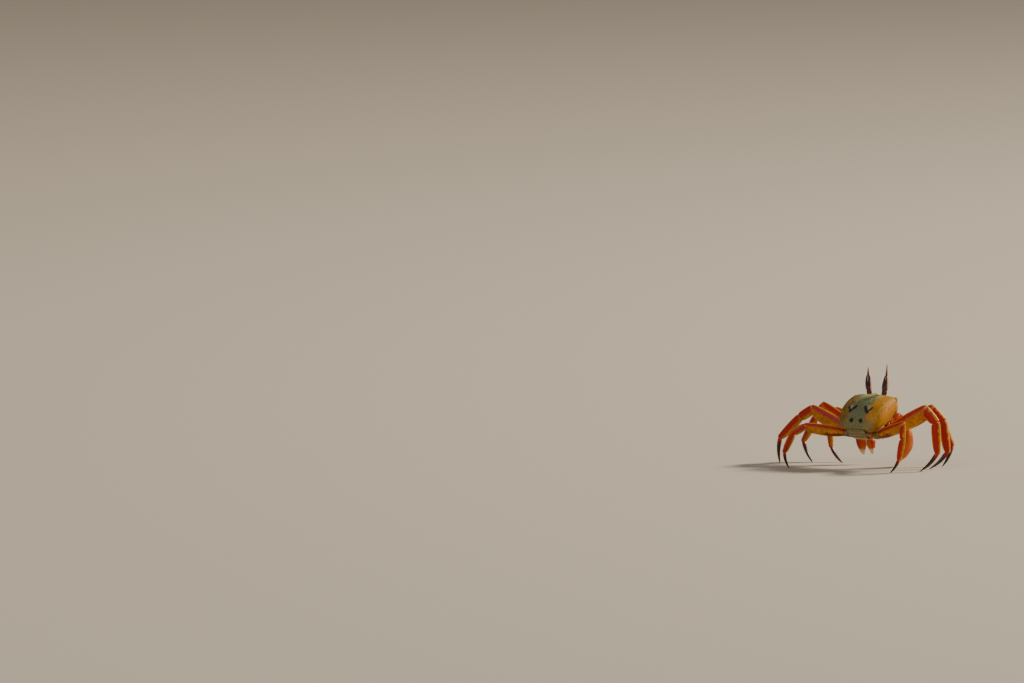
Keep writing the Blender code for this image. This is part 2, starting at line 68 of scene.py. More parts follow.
MM = 0.001
BODY_PITCH = math.radians(24)
BODY_HEIGHT = 37 * MM
REAR_TO_ORIGIN = 25.17 * MM  # from the rearmost point of the shell forward to the body's own origin
shell_low, shell_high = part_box("carapace")
BODY_ORIGIN = Vector(((shell_low.x + shell_high.x) / 2, shell_high.y - REAR_TO_ORIGIN, BODY_HEIGHT))


def in_body(across, along, up):
    """A point given in millimetres to the left, ahead and above in the tilted body."""
    ahead = along * math.cos(BODY_PITCH) - up * math.sin(BODY_PITCH)
    above = along * math.sin(BODY_PITCH) + up * math.cos(BODY_PITCH)
    return BODY_ORIGIN + Vector((across, -ahead, above)) * MM


def only(piece):
    """Makes this piece the one that operators act on."""
    bpy.ops.object.select_all(action="DESELECT")
    piece.select_set(True)
    bpy.context.view_layer.objects.active = piece


def with_modifier(piece, kind, **settings):
    """Adds a modifier with these settings and applies it."""
    only(piece)
    modifier = piece.modifiers.new(kind, kind)
    for name, value in settings.items():
        setattr(modifier, name, value)
    bpy.ops.object.modifier_apply(modifier=modifier.name)


def subdivided(piece, levels):
    with_modifier(piece, "SUBSURF", levels=levels, render_levels=levels)


def cast_from(node, finish, swell, levels, edge_angle=180, crispness=0.0):
    """The outer shell of one segment, cast from its solid, swollen a little and rounded off.

    Edges that turn by more than the edge angle stay as crisp as asked.
    """
    piece = bpy.data.objects.new(f"{node}_shell", frame["nodes"][node].data.copy())
    bpy.context.scene.collection.objects.link(piece)
    piece.data.materials.clear()
    if finish:
        piece.data.materials.append(finish)
    only(piece)
    bpy.ops.mesh.customdata_custom_splitnormals_clear()
    bpy.ops.object.mode_set(mode="EDIT")
    bpy.ops.mesh.select_all(action="SELECT")
    bpy.ops.mesh.remove_doubles(threshold=0.01 * MM)
    bpy.ops.mesh.tris_convert_to_quads(face_threshold=math.radians(50), shape_threshold=math.radians(60))
    bpy.ops.mesh.normals_make_consistent(inside=False)
    bpy.ops.transform.shrink_fatten(value=swell)
    bpy.ops.mesh.select_all(action="DESELECT")
    bpy.ops.mesh.select_mode(type="EDGE")
    bpy.ops.mesh.edges_select_sharp(sharpness=math.radians(edge_angle))
    bpy.ops.transform.edge_crease(value=crispness)
    bpy.ops.object.mode_set(mode="OBJECT")
    subdivided(piece, levels)
    bpy.ops.object.shade_smooth()
    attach(piece, "root")
    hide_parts(node)
    return piece


def points_of(piece):
    """The piece's points and their normals, as rows of numbers."""
    mesh = piece.data
    points = np.empty(len(mesh.vertices) * 3, np.float32)
    normals = np.empty_like(points)
    mesh.vertices.foreach_get("co", points)
    mesh.vertex_normals.foreach_get("vector", normals)
    return points.reshape(-1, 3).astype(float), normals.reshape(-1, 3).astype(float)


def ramp(values, start, run):
    """0 up to the start, then rising evenly to 1 over the run. With a negative run it rises downwards."""
    return np.clip((values - start) / run, 0, 1)


def carry(mesh, name, values):
    """Gives each point of a mesh its values, for a finish to read."""
    kind, field = ("FLOAT", "value") if values.ndim == 1 else ("FLOAT_VECTOR", "vector")
    attribute = mesh.attributes.new(name, kind, "POINT")
    attribute.data.foreach_set(field, values.astype(np.float32).ravel())


FAINTEST = 0.002  # a weight below this leaves its point where it is


def pressed(piece, weights, height):
    """Raises the surface by height where the weights, one a point, are 1. A negative height sinks it."""
    group = piece.vertex_groups.new(name="pressed")
    for index in np.nonzero(weights > FAINTEST)[0]:
        group.add([int(index)], float(min(weights[index], 1)), "REPLACE")
    settings = {"mid_level": 0.0, "direction": "NORMAL", "vertex_group": group.name}
    with_modifier(piece, "DISPLACE", strength=height, **settings)
    piece.vertex_groups.clear()


def near_line(points, line, width):
    """How near each point lies to a line of points: 1 on it, fading to 0 at its width."""
    found = np.full(len(points), 1e9)
    for start, end in zip(line, line[1:]):
        start, run = np.array(start), np.array(end) - np.array(start)
        part = np.clip((points - start) @ run / max(run @ run, 1e-18), 0, 1)
        found = np.minimum(found, np.linalg.norm(points - start - part[:, None] * run, axis=1))
    return np.clip(1 - found / width, 0, 1) ** 2 * (1 + 2 * np.clip(found / width, 0, 1))


carapace = cast_from("carapace", None, swell=0.12 * MM, levels=3, edge_angle=32, crispness=0.55)


def on_back(across, along):
    """The point of the back right below this place."""
    return carapace.ray_cast(in_body(across, along, 60), in_body(0, 0, 0) - in_body(0, 0, 1))[1]


def on_face(across, up):
    """The point of the face right behind this place."""
    return carapace.ray_cast(in_body(across, 60, up), in_body(0, 0, 0) - in_body(0, 1, 0))[1]


def body_places(points):
    """Points as millimetres to the left, ahead and above in the tilted body."""
    across, back, above = (points - np.array(BODY_ORIGIN)).T / MM
    along = -back * math.cos(BODY_PITCH) + above * math.sin(BODY_PITCH)
    up = back * math.sin(BODY_PITCH) + above * math.cos(BODY_PITCH)
    return across, along, up


def crest_points(piece, wanted, score, place, step):
    """Points along a crest: in each step of the place, the wanted point with the highest score.

    Each comes as its place, its normal and its number."""
    points, normals = points_of(piece)
    crest = []
    for low in np.arange(place[wanted].min(), place[wanted].max(), step):
        here = wanted & (place >= low) & (place < low + step)
        if here.any():
            best = np.nonzero(here)[0][np.argmax(score[here])]
            crest.append((Vector(points[best]), Vector(normals[best]), best))
    return crest


# Furrows of the back, on one side, as places (across, along): they bound the stomach and the heart.
FURROWS = (
    ((3.2, 12.0), (6.5, 7.5), (8.2, 2.5), (6.2, -1.5), (4.6, -4.5), (5.6, -9.5), (7.2, -14.0)),
    ((6.2, -1.5), (9.5, -2.2), (13.5, -0.2), (17.5, 4.5)),
    ((1.4, 15.5), (1.2, 10.5)),
)
FURROW_WIDTH, FURROW_DEPTH = 1.9 * MM, 0.32 * MM
# The hollow of the orbit as places (across, up) on the face, and the tooth at its outer corner
ORBIT = ((6.5, 19.6), (11.0, 19.8), (16.0, 19.8), (20.5, 19.6))
ORBIT_WIDTH, ORBIT_DEPTH = 3.6 * MM, 1.3 * MM
ORBIT_TOOTH = (24.0, 19.6, 23.6)
TOOTH_WIDTH, TOOTH_HEIGHT = 3.0 * MM, 1.3 * MM
# The raised frame of the mouth, round both plates, as places (across, up) on the face
MOUTH_FRAME = ((9.4, 0.5), (9.6, 5.0), (9.6, 10.0), (8.2, 12.6), (0.0, 12.9))
FRAME_WIDTH, FRAME_HEIGHT = 1.2 * MM, 0.40 * MM


def near_carapace(line, width):
    return near_line(points_of(carapace)[0], line, width)


for side in (1, -1):
    for furrow in FURROWS:
        line = [on_back(side * across, along) for across, along in furrow]
        pressed(carapace, near_carapace(line, FURROW_WIDTH), -FURROW_DEPTH)
    hollow = [on_face(side * across, up) for across, up in ORBIT]
    pressed(carapace, near_carapace(hollow, ORBIT_WIDTH), -ORBIT_DEPTH)
    across, along, up = ORBIT_TOOTH
    tooth = in_body(side * across, along, up)
    pressed(carapace, near_carapace([tooth, tooth], TOOTH_WIDTH) ** 2, TOOTH_HEIGHT)
for side in (1, -1):
    line = [on_face(side * across, up) for across, up in MOUTH_FRAME]
    pressed(carapace, near_carapace(line, FRAME_WIDTH), FRAME_HEIGHT)

# The lining of the orbits, as a weight on each point: smooth skin that looks ahead, under the front edge
shell_points, shell_normals = points_of(carapace)
across, along, up = body_places(shell_points)
looks_ahead = shell_normals @ np.array(in_body(0, 1, 0) - in_body(0, 0, 0)) / MM
lining = ramp(looks_ahead, 0.25, 0.35) * ramp(up, 13.6, 1.4)
lining *= ramp(np.abs(across), 3.4, 1.2)
carry(carapace.data, "lining", lining)


def fresh(add, **settings):
    """Adds a primitive with nothing else selected."""
    bpy.ops.object.select_all(action="DESELECT")
    add(**settings)
    return bpy.context.object


def cut_across(heights, **settings):
    """Cuts edges across the active shape at these heights."""
    bpy.ops.object.mode_set(mode="EDIT")
    for height in heights:
        bpy.ops.mesh.select_all(action="SELECT")
        bpy.ops.mesh.bisect(plane_co=(0, 0, height), plane_no=(0, 0, 1), **settings)
    bpy.ops.object.mode_set(mode="OBJECT")


def bead_shape():
    """A granule of the shell, one unit across: a low dome with a flat foot."""
    bead = fresh(bpy.ops.mesh.primitive_ico_sphere_add, subdivisions=1, radius=0.5)
    cut_across([-0.2], use_fill=True, clear_inner=True)
    return bead


def standing(place, aim, width, height):
    """The matrix that stands a small shape at a place, with its own Z towards the aim."""
    turn = Vector(aim).to_track_quat("Z", "Y")
    return Matrix.LocRotScale(Vector(place), turn, Vector((width, width, height)))


BAKE_PATCH = 0.003  # the side of the patch of the bake map that one copy takes


def joined_copies(name, finish, shape, stands, patches=None, limb_places=None):
    """One piece of many copies of a small shape, each stood by its own matrix. The shape is removed.

    With patches, a place on the unwrapped skin for each copy, the piece gets a UV map with a patch a copy.
    With limb places, each copy takes the colour of its place on the limb segment that it stands on.
    """
    corners, _ = points_of(shape)
    faces = [tuple(face.vertices) for face in shape.data.polygons]
    bpy.data.objects.remove(shape)
    stands = np.array([np.array(stand) for stand in stands])
    spread = np.einsum("kij,nj->kni", stands[:, :3, :3], corners) + stands[:, None, :3, 3]
    count = len(corners)
    mesh = bpy.data.meshes.new(name)
    mesh.from_pydata(
        spread.reshape(-1, 3).tolist(),
        [],
        [[copy * count + corner for corner in face] for copy in range(len(stands)) for face in faces],
    )
    mesh.shade_smooth()
    if patches is not None:
        within = (corners - corners.min(axis=0))[:, (0, 2)] / np.ptp(corners, axis=0)[[0, 2]]
        at = np.empty(len(mesh.loops), np.int32)
        mesh.loops.foreach_get("vertex_index", at)
        spots = np.array(patches)[at // count] + within[at % count] * BAKE_PATCH
        mesh.uv_layers.new(name="OFBake").data.foreach_set("uv", spots.astype(np.float32).ravel())
    if limb_places is not None:
        carry(mesh, "limb", np.repeat(np.array(limb_places), count, axis=0))
    if finish:
        mesh.materials.append(finish)
    piece = bpy.data.objects.new(name, mesh)
    bpy.context.scene.collection.objects.link(piece)
    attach(piece, "root")
    return piece


def scattered(piece, count, wanted, seed, *rows):
    """Places spread by chance over the surface, thicker where the points' wanted weight is high.

    Returns the places, their normals, and each further row of point values at those places.
    """
    mesh = piece.data
    mesh.calc_loop_triangles()
    corners = np.empty(len(mesh.loop_triangles) * 3, np.int32)
    mesh.loop_triangles.foreach_get("vertices", corners)
    corners = corners.reshape(-1, 3)
    points, normals = points_of(piece)
    sides = points[corners[:, 1:]] - points[corners[:, :1]]
    chance = np.linalg.norm(np.cross(sides[:, 0], sides[:, 1]), axis=1) * wanted[corners].mean(axis=1)
    chosen = np.random.default_rng(seed)
    picked = corners[chosen.choice(len(corners), count, p=chance / chance.sum())]
    shares = chosen.dirichlet((1, 1, 1), count)
    return [np.einsum("kc,kcj->kj", shares, row[picked]) for row in (points, normals, *rows)]


def bead_row(wanted, score, place, step, width, height):
    """Beads along a crest of the carapace, one a step, all in millimetres."""
    crest = crest_points(carapace, wanted, score, place, step)
    return [standing(at, normal, width * MM, height * MM) for at, normal, _ in crest]


# Granules: a row along each side margin, denticles on both borders of the orbit, and a scatter of
# coarser grains down the shoulders and the cheeks.
GRAIN_COUNT, GRAIN_SIZES = 2600, (0.20, 0.42)
stands = []
for side in (1, -1):
    shoulder = (side * across > 15) & (along > -10) & (along < 21.5) & (up > 8)
    stands += bead_row(shoulder, 0.75 * side * across + 0.66 * up, along, 0.72, 0.50, 0.42)
brow = (along > 12) & (up > 17) & (np.abs(across) < 23.5)
stands += bead_row(brow, 0.75 * along + 0.66 * up, across, 0.62, 0.42, 0.36)
lower_border = (along > 12) & (up > 9) & (up < 16) & (np.abs(across) > 3.5) & (np.abs(across) < 23)
stands += bead_row(lower_border, along + 0.35 * up, across, 0.70, 0.55, 0.62)
shoulders = ramp(np.abs(across), 12, 9) * ramp(up, 4, 8) * (1 - lining)
sizes = np.random.default_rng(5).uniform(*GRAIN_SIZES, GRAIN_COUNT) * MM
for place, normal, size in zip(*scattered(carapace, GRAIN_COUNT, shoulders, 4), sizes):
    stands.append(standing(place, normal, size, 0.7 * size))
granules = joined_copies("carapace_granules", None, bead_shape(), stands)


# Node helpers for the finishes. After feed, each adds nodes and returns an output for the next to take.
def feed(node, inputs):
    """Gives each input of a node a plain value or another node's output."""
    for name, value in inputs.items():
        if isinstance(value, bpy.types.NodeSocket):
            node.id_data.links.new(value, node.inputs[name])
        else:
            node.inputs[name].default_value = value


def add_node(kind, inputs, output=0, tree=None, **settings):
    """One output of a new node of this kind, in the tree of the outputs that it takes in."""
    for value in inputs.values():
        if isinstance(value, bpy.types.NodeSocket):
            tree = value.id_data
    node = tree.nodes.new(kind)
    for name, value in settings.items():
        setattr(node, name, value)
    feed(node, inputs)
    return node.outputs[output]


def maths(operation, *values):
    return add_node("ShaderNodeMath", dict(enumerate(values)), operation=operation)


def times(first, second):
    return maths("MULTIPLY", first, second)


def vector_maths(operation, first, second, output=0):
    return add_node("ShaderNodeVectorMath", {0: first, 1: second}, output, operation=operation)


def scaled(vector, size):
    return add_node("ShaderNodeVectorMath", {0: vector, "Scale": size}, operation="SCALE")


def fade(value, start, end):
    """0 where the value is at start, 1 where it is at end, and smooth between."""
    inputs = {"Value": value, "From Min": start, "From Max": end}
    return add_node("ShaderNodeMapRange", inputs, interpolation_type="SMOOTHSTEP")


def tint(share, first, second):
    """The first colour turning into the second as the share goes from 0 to 1."""
    inputs = {0: share}
    for slot_number, colour in ((6, first), (7, second)):
        inputs[slot_number] = (*colour, 1) if isinstance(colour, tuple) else colour
    return add_node("ShaderNodeMix", inputs, output=2, data_type="RGBA")


def wash(colour, share, most, second):
    """A second colour laid over the first, at most this thick, where the share is 1."""
    return tint(times(share, most), colour, second)


def cloud(place, size, detail=3.0, roughness=0.55):
    """Slow noise from 0 to 1, with features of about this size."""
    inputs = {"Vector": place, "Scale": 1 / size, "Detail": detail, "Roughness": roughness}
    return add_node("ShaderNodeTexNoise", inputs)


def mottled(place, size, low, high, first, second):
    """Two colours in soft blotches of about this size."""
    return tint(fade(cloud(place, size), low, high), first, second)


def grains(place, size, feature="F1"):
    """Distance to the middle of the nearest of many close grains of this size."""
    return add_node("ShaderNodeTexVoronoi", {"Vector": place, "Scale": 1 / size}, feature=feature)


def axes_of(vector):
    return add_node("ShaderNodeSeparateXYZ", {0: vector}).node.outputs


def distance_to(place, point):
    return vector_maths("DISTANCE", place, tuple(point), 1)


def distance_to_stroke(place, start, end):
    """Distance to the straight line between two points."""
    run = end - start
    offset = vector_maths("SUBTRACT", place, tuple(start))
    along = vector_maths("DOT_PRODUCT", offset, tuple(run / run.length_squared), 1)
    part = add_node("ShaderNodeClamp", {"Value": along})
    return vector_maths("DISTANCE", offset, scaled(tuple(run), part), 1)


def bumped(height, distance, strength, under=None):
    inputs = {"Height": height, "Distance": distance, "Strength": strength}
    if under is not None:
        inputs["Normal"] = under
    return add_node("ShaderNodeBump", inputs)


def surface_place(tree):
    return add_node("ShaderNodeTexCoord", {}, 3, tree)


SHELL_SHEEN = {"Specular IOR Level": 0.35, "Coat Roughness": 0.18}


def new_finish(name, roughness, coat=0.0):
    """A material, its node tree and places on its surface, with the values that are the same all over."""
    finish = bpy.data.materials.new(name)
    finish.use_nodes = True
    tree = finish.node_tree
    feed(tree.nodes["Principled BSDF"], {"Roughness": roughness, "Coat Weight": coat, **SHELL_SHEEN})
    return finish, tree, surface_place(tree)


def coated(tree, colour, relief=None, roughness=None):
    """Gives a finish its colour and, where it has them, its relief and its own roughness."""
    inputs = {"Base Color": colour, "Normal": relief, "Roughness": roughness}
    given = {name: value for name, value in inputs.items() if value is not None}
    feed(tree.nodes["Principled BSDF"], given)


def plain_finish(name, roughness, coat, size, first, second, low=0.3, relief=None):
    """A finish in two colours. The relief is the size of its grain, its height and its strength."""
    finish, tree, raw = new_finish(name, roughness, coat)
    if relief:
        relief = bumped(cloud(raw, relief[0]), *relief[1:])
    coated(tree, mottled(raw, size, low, 0.7, first, second), relief)
    return finish


def carried(tree, name, output=2):
    """A value that the points carry."""
    return add_node("ShaderNodeAttribute", {}, output, tree, attribute_name=name)


def body_place(tree):
    """Places in the tilted body: X to the left, Y to the rear, Z up, from the body's own origin."""
    inputs = {
        "Vector": surface_place(tree),
        "Location": tuple(BODY_ORIGIN),
        "Rotation": (-BODY_PITCH, 0, 0),
    }
    return add_node("ShaderNodeMapping", inputs, vector_type="TEXTURE")


def swayed(place, size, reach):
    """Places pushed about by a slow noise, so that a marking's edge isn't drawn with a ruler."""
    inputs = {"Vector": place, "Scale": 1 / size, "Detail": 2.0}
    noise = add_node("ShaderNodeTexNoise", inputs, output=1)
    push = vector_maths("SUBTRACT", noise, (0.5, 0.5, 0.5))
    return vector_maths("ADD", place, scaled(push, reach))


GREY_GREEN = (0.178, 0.192, 0.082)
OLIVE = (0.150, 0.088, 0.004)
MUSTARD = (0.60, 0.255, 0.001)
SAND_EDGE = (0.58, 0.47, 0.14)
RIM_ORANGE = (0.64, 0.25, 0.014)
HIND_GREEN = (0.250, 0.215, 0.075)
INK = (0.008, 0.005, 0.003)
MARK_MIST = (0.34, 0.32, 0.25)
FLANK_CREAM = (0.60, 0.265, 0.005)
ORBIT_PINK = (0.55, 0.25, 0.10)
ORBIT_CREAM = (0.62, 0.44, 0.20)

# Marks of the back, on one side: the round spot and the two strokes of a check, as (across, along)
SPOT, SPOT_RADIUS = (5.4, -17.5), 2.3 * MM
CHECK = ((5.3, -5.2), (9.9, -10.7), (13.4, -5.4))
CHECK_WIDTHS = (1.5 * MM, 1.0 * MM)

shell_finish, tree, raw = new_finish("carapace_shell", 0.46, 0.06)
place = swayed(body_place(tree), 5 * MM, 1.6 * MM)
left, rear, up = axes_of(place)
across = maths("ABSOLUTE", left)
broad = cloud(raw, 7 * MM)
fine = cloud(raw, 0.85 * MM, 4.0)
flank = fade(maths("ADD", across, times(broad, 6 * MM)), 9 * MM, 18 * MM)
colour = tint(fade(broad, 0.3, 0.7), OLIVE, MUSTARD)
# Painted shade and light: the crab's left flank is painted darker olive and its right flank brighter
# mustard, as the light falls from its right.
sides = (tint(0.5, colour, OLIVE), tint(0.75, colour, MUSTARD))
colour = tint(fade(left, 16 * MM, -10 * MM), *sides)
colour = tint(flank, GREY_GREEN, colour)
front = fade(maths("ADD", rear, times(broad, 5 * MM)), -3 * MM, -16 * MM)
pale_front = fade(left, -16 * MM, -7 * MM)
colour = wash(colour, times(front, pale_front), 0.85, SAND_EDGE)
hind = fade(rear, 15 * MM, 20 * MM)
colour = wash(colour, hind, 0.7, HIND_GREEN)
wall = fade(up, 22 * MM, 12 * MM)
colour = tint(times(wall, fade(rear, 16 * MM, 10 * MM)), colour, FLANK_CREAM)
rim = fade(across, 23.3 * MM, 24.8 * MM)
colour = wash(colour, rim, 0.8, RIM_ORANGE)
colour = tint(fade(fine, 0.60, 0.42), colour, tint(0.45, colour, INK))
marked = swayed(swayed(raw, 2.6 * MM, 1.2 * MM), 0.8 * MM, 0.5 * MM)
for side in (1, -1):
    bends = [on_back(side * x, along) for x, along in CHECK]
    mist = distance_to_stroke(marked, on_back(side * 9.6, -7.6), on_back(side * 10.4, -6.0))
    colour = wash(colour, fade(mist, 3.4 * MM, 0.4 * MM), 0.70, MARK_MIST)
    for start, end, width in zip(bends, bends[1:], CHECK_WIDTHS):
        reach = distance_to_stroke(marked, start, end)
        colour = tint(fade(reach, 1.5 * width, 0.5 * width), colour, INK)
    reach = distance_to(marked, on_back(side * SPOT[0], SPOT[1]))
    colour = tint(fade(reach, 1.12 * SPOT_RADIUS, 0.82 * SPOT_RADIUS), colour, INK)
orbit_colour = tint(fade(broad, 0.3, 0.7), ORBIT_PINK, ORBIT_CREAM)
colour = wash(colour, carried(tree, "lining"), 0.85, orbit_colour)
relief = bumped(fade(grains(raw, 0.62 * MM), 0.75, 0.1), 0.07 * MM, 0.8)
relief = bumped(cloud(raw, 2.2 * MM), 0.25 * MM, 0.35, relief)
coated(tree, colour, relief, fade(fine, -0.6, 1.6))
for piece in (carapace, granules):
    piece.data.materials.append(shell_finish)


# ---- Walking legs ----
# Eight legs of flat, bladed segments: thigh, wrist, shin and toe. The shell is rough and finely
# ridged, dark red along the back and yellow on the faces, with dark ribbed toes that end in a point.

LEG_NAMES = [f"leg_{number}_{side}" for number in (1, 2, 3, 4) for side in ("left", "right")]
SEGMENTS = ("thigh", "carpus", "propodus", "dactyl")
STRETCHES = 30  # short lengths of a segment, each measured for itself


def limb_map(piece, joint):
    """Gives the points of a limb segment their place on it: root to tip 0 to 1, belly to back -1 to 1,
    and front face to rear face -1 to 1. The root is the end near the joint. Returns the three, the
    points and the segment's own directions."""
    points, _ = points_of(piece)
    centre = points.mean(axis=0)
    run, back, face = np.linalg.svd(points - centre, full_matrices=False)[2]
    away = centre - np.array(BODY_ORIGIN)
    away[2] = 0
    if run @ (centre - joint) < 0:
        run = -run
    upwards = np.array((0, 0, 1)) if "thigh" in piece.name or "arm" in piece.name else away
    if back @ upwards < 0:
        back = -back
    if face[1] < 0:
        face = -face
    length = (points - centre) @ run
    part = (length - length.min()) / np.ptp(length)
    rows = [part]
    bins = np.minimum((part * STRETCHES).astype(int), STRETCHES - 1)
    middles = (np.arange(STRETCHES) + 0.5) / STRETCHES
    for direction in (back, face):
        place = (points - centre) @ direction
        low, high = np.full(STRETCHES, np.nan), np.full(STRETCHES, np.nan)
        for i in range(STRETCHES):
            inside = place[(bins >= i - 1) & (bins <= i + 1)]
            if len(inside):
                low[i], high[i] = inside.min(), inside.max()
        known = ~np.isnan(low)
        low_at = np.interp(part, middles[known], low[known])
        high_at = np.interp(part, middles[known], high[known])
        rows.append(np.clip((2 * place - low_at - high_at) / (high_at - low_at), -1, 1))
    values = np.stack(rows, axis=1)
    carry(piece.data, "limb", values)
    return values, points, (Vector(run), Vector(back), Vector(face))


def end_of(name, at_tip, share=0.04):
    """The middle of one end of a limb segment, taken over this share of its length."""
    values, points, _ = limbs[name]
    ring = points[values[:, 0] > 1 - share] if at_tip else points[values[:, 0] < share]
    return ring.mean(axis=0)


def limb_place(tree):
    """The segment's own places: root to tip, belly to back, front to rear."""
    return carried(tree, "limb", 1)


LEG_YELLOW = (0.66, 0.275, 0.002)
LEG_OLIVE = (0.42, 0.160, 0.002)
LEG_RED = (0.44, 0.004, 0.0004)
LEG_EDGE_AND_HIGHLIGHT = (0.86, 0.40, 0.006)
LEG_SHADE = (0.09, 0.008, 0.002)
UNDER_HIP_SHADE = (0.16, 0.002, 0.001)
TOE_BLACK = (0.026, 0.004, 0.004)
TOE_TIP = (0.30, 0.13, 0.05)


def leg_finish(name, red_from, red_to, edge_share, distal_red, grooves=(), gold_from=1.1, hind=0.0):
    """Shell of a leg segment: red on the back from one height to another, yellow below it.

    Above gold_from the red leaves the back's edge, which shows yellow: a painted highlight along the edge
    that faces the light. A hind thigh is green like the body at its hip, with painted shade in dark red
    on its underside near the hip.
    """
    finish, tree, raw = new_finish(name, 0.44, 0.04)
    limb = limb_place(tree)
    root_to_tip, height, _ = axes_of(limb)
    blotch = cloud(raw, 3.5 * MM)
    fine = cloud(raw, 0.9 * MM, 4.0)
    height_swayed = maths("ADD", height, maths("MULTIPLY_ADD", blotch, 0.9, -0.45))
    red = fade(height_swayed, red_from, red_to)
    red = maths("MAXIMUM", red, times(fade(root_to_tip, 0.45, 1.0), distal_red))
    face_colour = tint(fade(blotch, 0.35, 0.65), LEG_OLIVE, LEG_YELLOW)
    # Painted highlight: the back's edge above gold_from loses its red.
    red = times(red, fade(height_swayed, gold_from + 0.25, gold_from))
    colour = tint(red, face_colour, LEG_RED)
    # Both edges get a bright gold wash: partly the leg's own pale edge, partly a painted highlight.
    edge = fade(maths("ABSOLUTE", height), 0.80, 0.97)
    colour = wash(colour, edge, edge_share, LEG_EDGE_AND_HIGHLIGHT)
    if hind:
        # Painted shade: dark red on the underside of a hind thigh near its hip, where the body shades it.
        belly = times(fade(height_swayed, -0.15, -0.50), fade(root_to_tip, 0.68, 0.48))
        colour = wash(colour, belly, hind, UNDER_HIP_SHADE)
        hip = fade(maths("MULTIPLY_ADD", blotch, 0.06, root_to_tip), 0.24, 0.15)
        hip_green = tint(fade(blotch, 0.35, 0.65), GREY_GREEN, HIND_GREEN)
        colour = wash(colour, hip, hind, hip_green)
    colour = wash(colour, fade(fine, 0.58, 0.40), 0.35, LEG_SHADE)
    for groove in grooves:
        off = maths("ABSOLUTE", maths("SUBTRACT", root_to_tip, groove))
        colour = wash(colour, fade(off, 0.016, 0.004), 0.7, LEG_SHADE)
    scales = fade(grains(raw, 0.55 * MM), 0.8, 0.1)
    relief = bumped(scales, 0.05 * MM, 0.7)
    stretched = add_node("ShaderNodeMapping", {"Vector": limb, "Scale": (42, 2.2, 1.2)})
    wrinkles = add_node("ShaderNodeTexNoise", {"Vector": stretched, "Scale": 1.0, "Detail": 2.0})
    relief = bumped(wrinkles, 0.16 * MM, 0.55, relief)
    relief = bumped(fine, 0.12 * MM, 0.4, relief)
    coated(tree, colour, relief)
    return finish


# The hip part of a thigh is two short segments grown onto it: their grooves, as parts of its length
HIP_GROOVES = (0.095, 0.185)
thigh_finish = leg_finish("thigh_shell", 0.0, 0.6, 0.75, 0.35, HIP_GROOVES)
hind_thigh_finish = leg_finish("hind_thigh_shell", 0.0, 0.6, 0.75, 0.35, HIP_GROOVES, hind=0.85)
# Painted highlight: yellow runs along the lower edge of the left shins and along the upper edge of the
# right ones, the edges that face the light from the crab's right.
left_shin_finish = leg_finish("left_shin_shell", -0.65, -0.15, 0.85, 0.0)
right_shin_finish = leg_finish("right_shin_shell", -0.95, -0.60, 0.85, 0.0, gold_from=0.42)

toe_finish, tree, raw = new_finish("toe_shell", 0.34, 0.2)
root_to_tip, height, _ = axes_of(limb_place(tree))
streak = cloud(raw, 1.4 * MM)
colour = tint(fade(root_to_tip, 0.0, 0.30), LEG_RED, TOE_BLACK)
edge = fade(maths("ABSOLUTE", height), 0.75, 1.0)
colour = wash(colour, edge, 0.45, (0.34, 0.10, 0.02))
colour = wash(colour, fade(root_to_tip, 0.88, 1.0), 0.6, TOE_TIP)
colour = wash(colour, fade(streak, 0.5, 0.8), 0.35, (0.20, 0.05, 0.02))
coated(tree, colour, bumped(streak, 0.08 * MM, 0.6))

LEG_SWELL, TOE_SWELL = 0.16 * MM, 0.06 * MM
GROOVE_WIDTH, GROOVE_DEPTH = 0.02, 0.28 * MM  # the width is a part of the thigh's length
FLUTES, FLUTE_HEIGHT = 6, 0.16 * MM  # ribs round a toe
KNEE_RIM = 0.16 * MM  # height of the raised ring at the end of each segment
limbs = {}
for leg in LEG_NAMES:
    joint = np.array(BODY_ORIGIN)
    thigh = hind_thigh_finish if "leg_4" in leg else thigh_finish
    shin = left_shin_finish if "left" in leg else right_shin_finish
    for segment, finish in zip(SEGMENTS, (thigh, shin, shin, toe_finish)):
        slot, swell = ("toe", TOE_SWELL) if segment == "dactyl" else ("leg", LEG_SWELL)
        piece = cast_from(f"{leg}_{segment}", finish, swell, 3)
        limbs[piece.name] = limb_map(piece, joint)
        root_to_tip, height, face = limbs[piece.name][0].T
        if segment == "thigh":
            for groove in HIP_GROOVES:
                near = 1 - np.abs(root_to_tip - groove) / GROOVE_WIDTH
                pressed(piece, np.clip(near, 0, 1), -GROOVE_DEPTH)
        if segment == "dactyl":
            ribs = 0.5 + 0.5 * np.cos(FLUTES * np.arctan2(height, face))
            ends = ramp(root_to_tip, 0, 0.12) * ramp(root_to_tip, 1, -0.25)
            pressed(piece, ribs * ends, FLUTE_HEIGHT)
        else:
            pressed(piece, ramp(root_to_tip, 0.90, 0.05) * ramp(root_to_tip, 0.985, -0.02), KNEE_RIM)
        joint = end_of(piece.name, True)


def membrane_shape():
    """A joint membrane, two units each way: a soft ball with folds across it."""
    ball = fresh(bpy.ops.mesh.primitive_uv_sphere_add, segments=20, ring_count=14, radius=1)
    heights = points_of(ball)[0][:, 2]
    pressed(ball, np.clip(np.cos(heights * 14), 0, 1) * np.clip(1.2 - np.abs(heights), 0, 1), -0.07)
    return ball


def set_at(place, axes, size):
    """The matrix that stands a shape at a place, with its own X, Y and Z along the axes, scaled to size."""
    turn = Matrix(axes).transposed().to_4x4()
    return Matrix.Translation(place) @ turn @ Matrix.Diagonal((*size, 1))


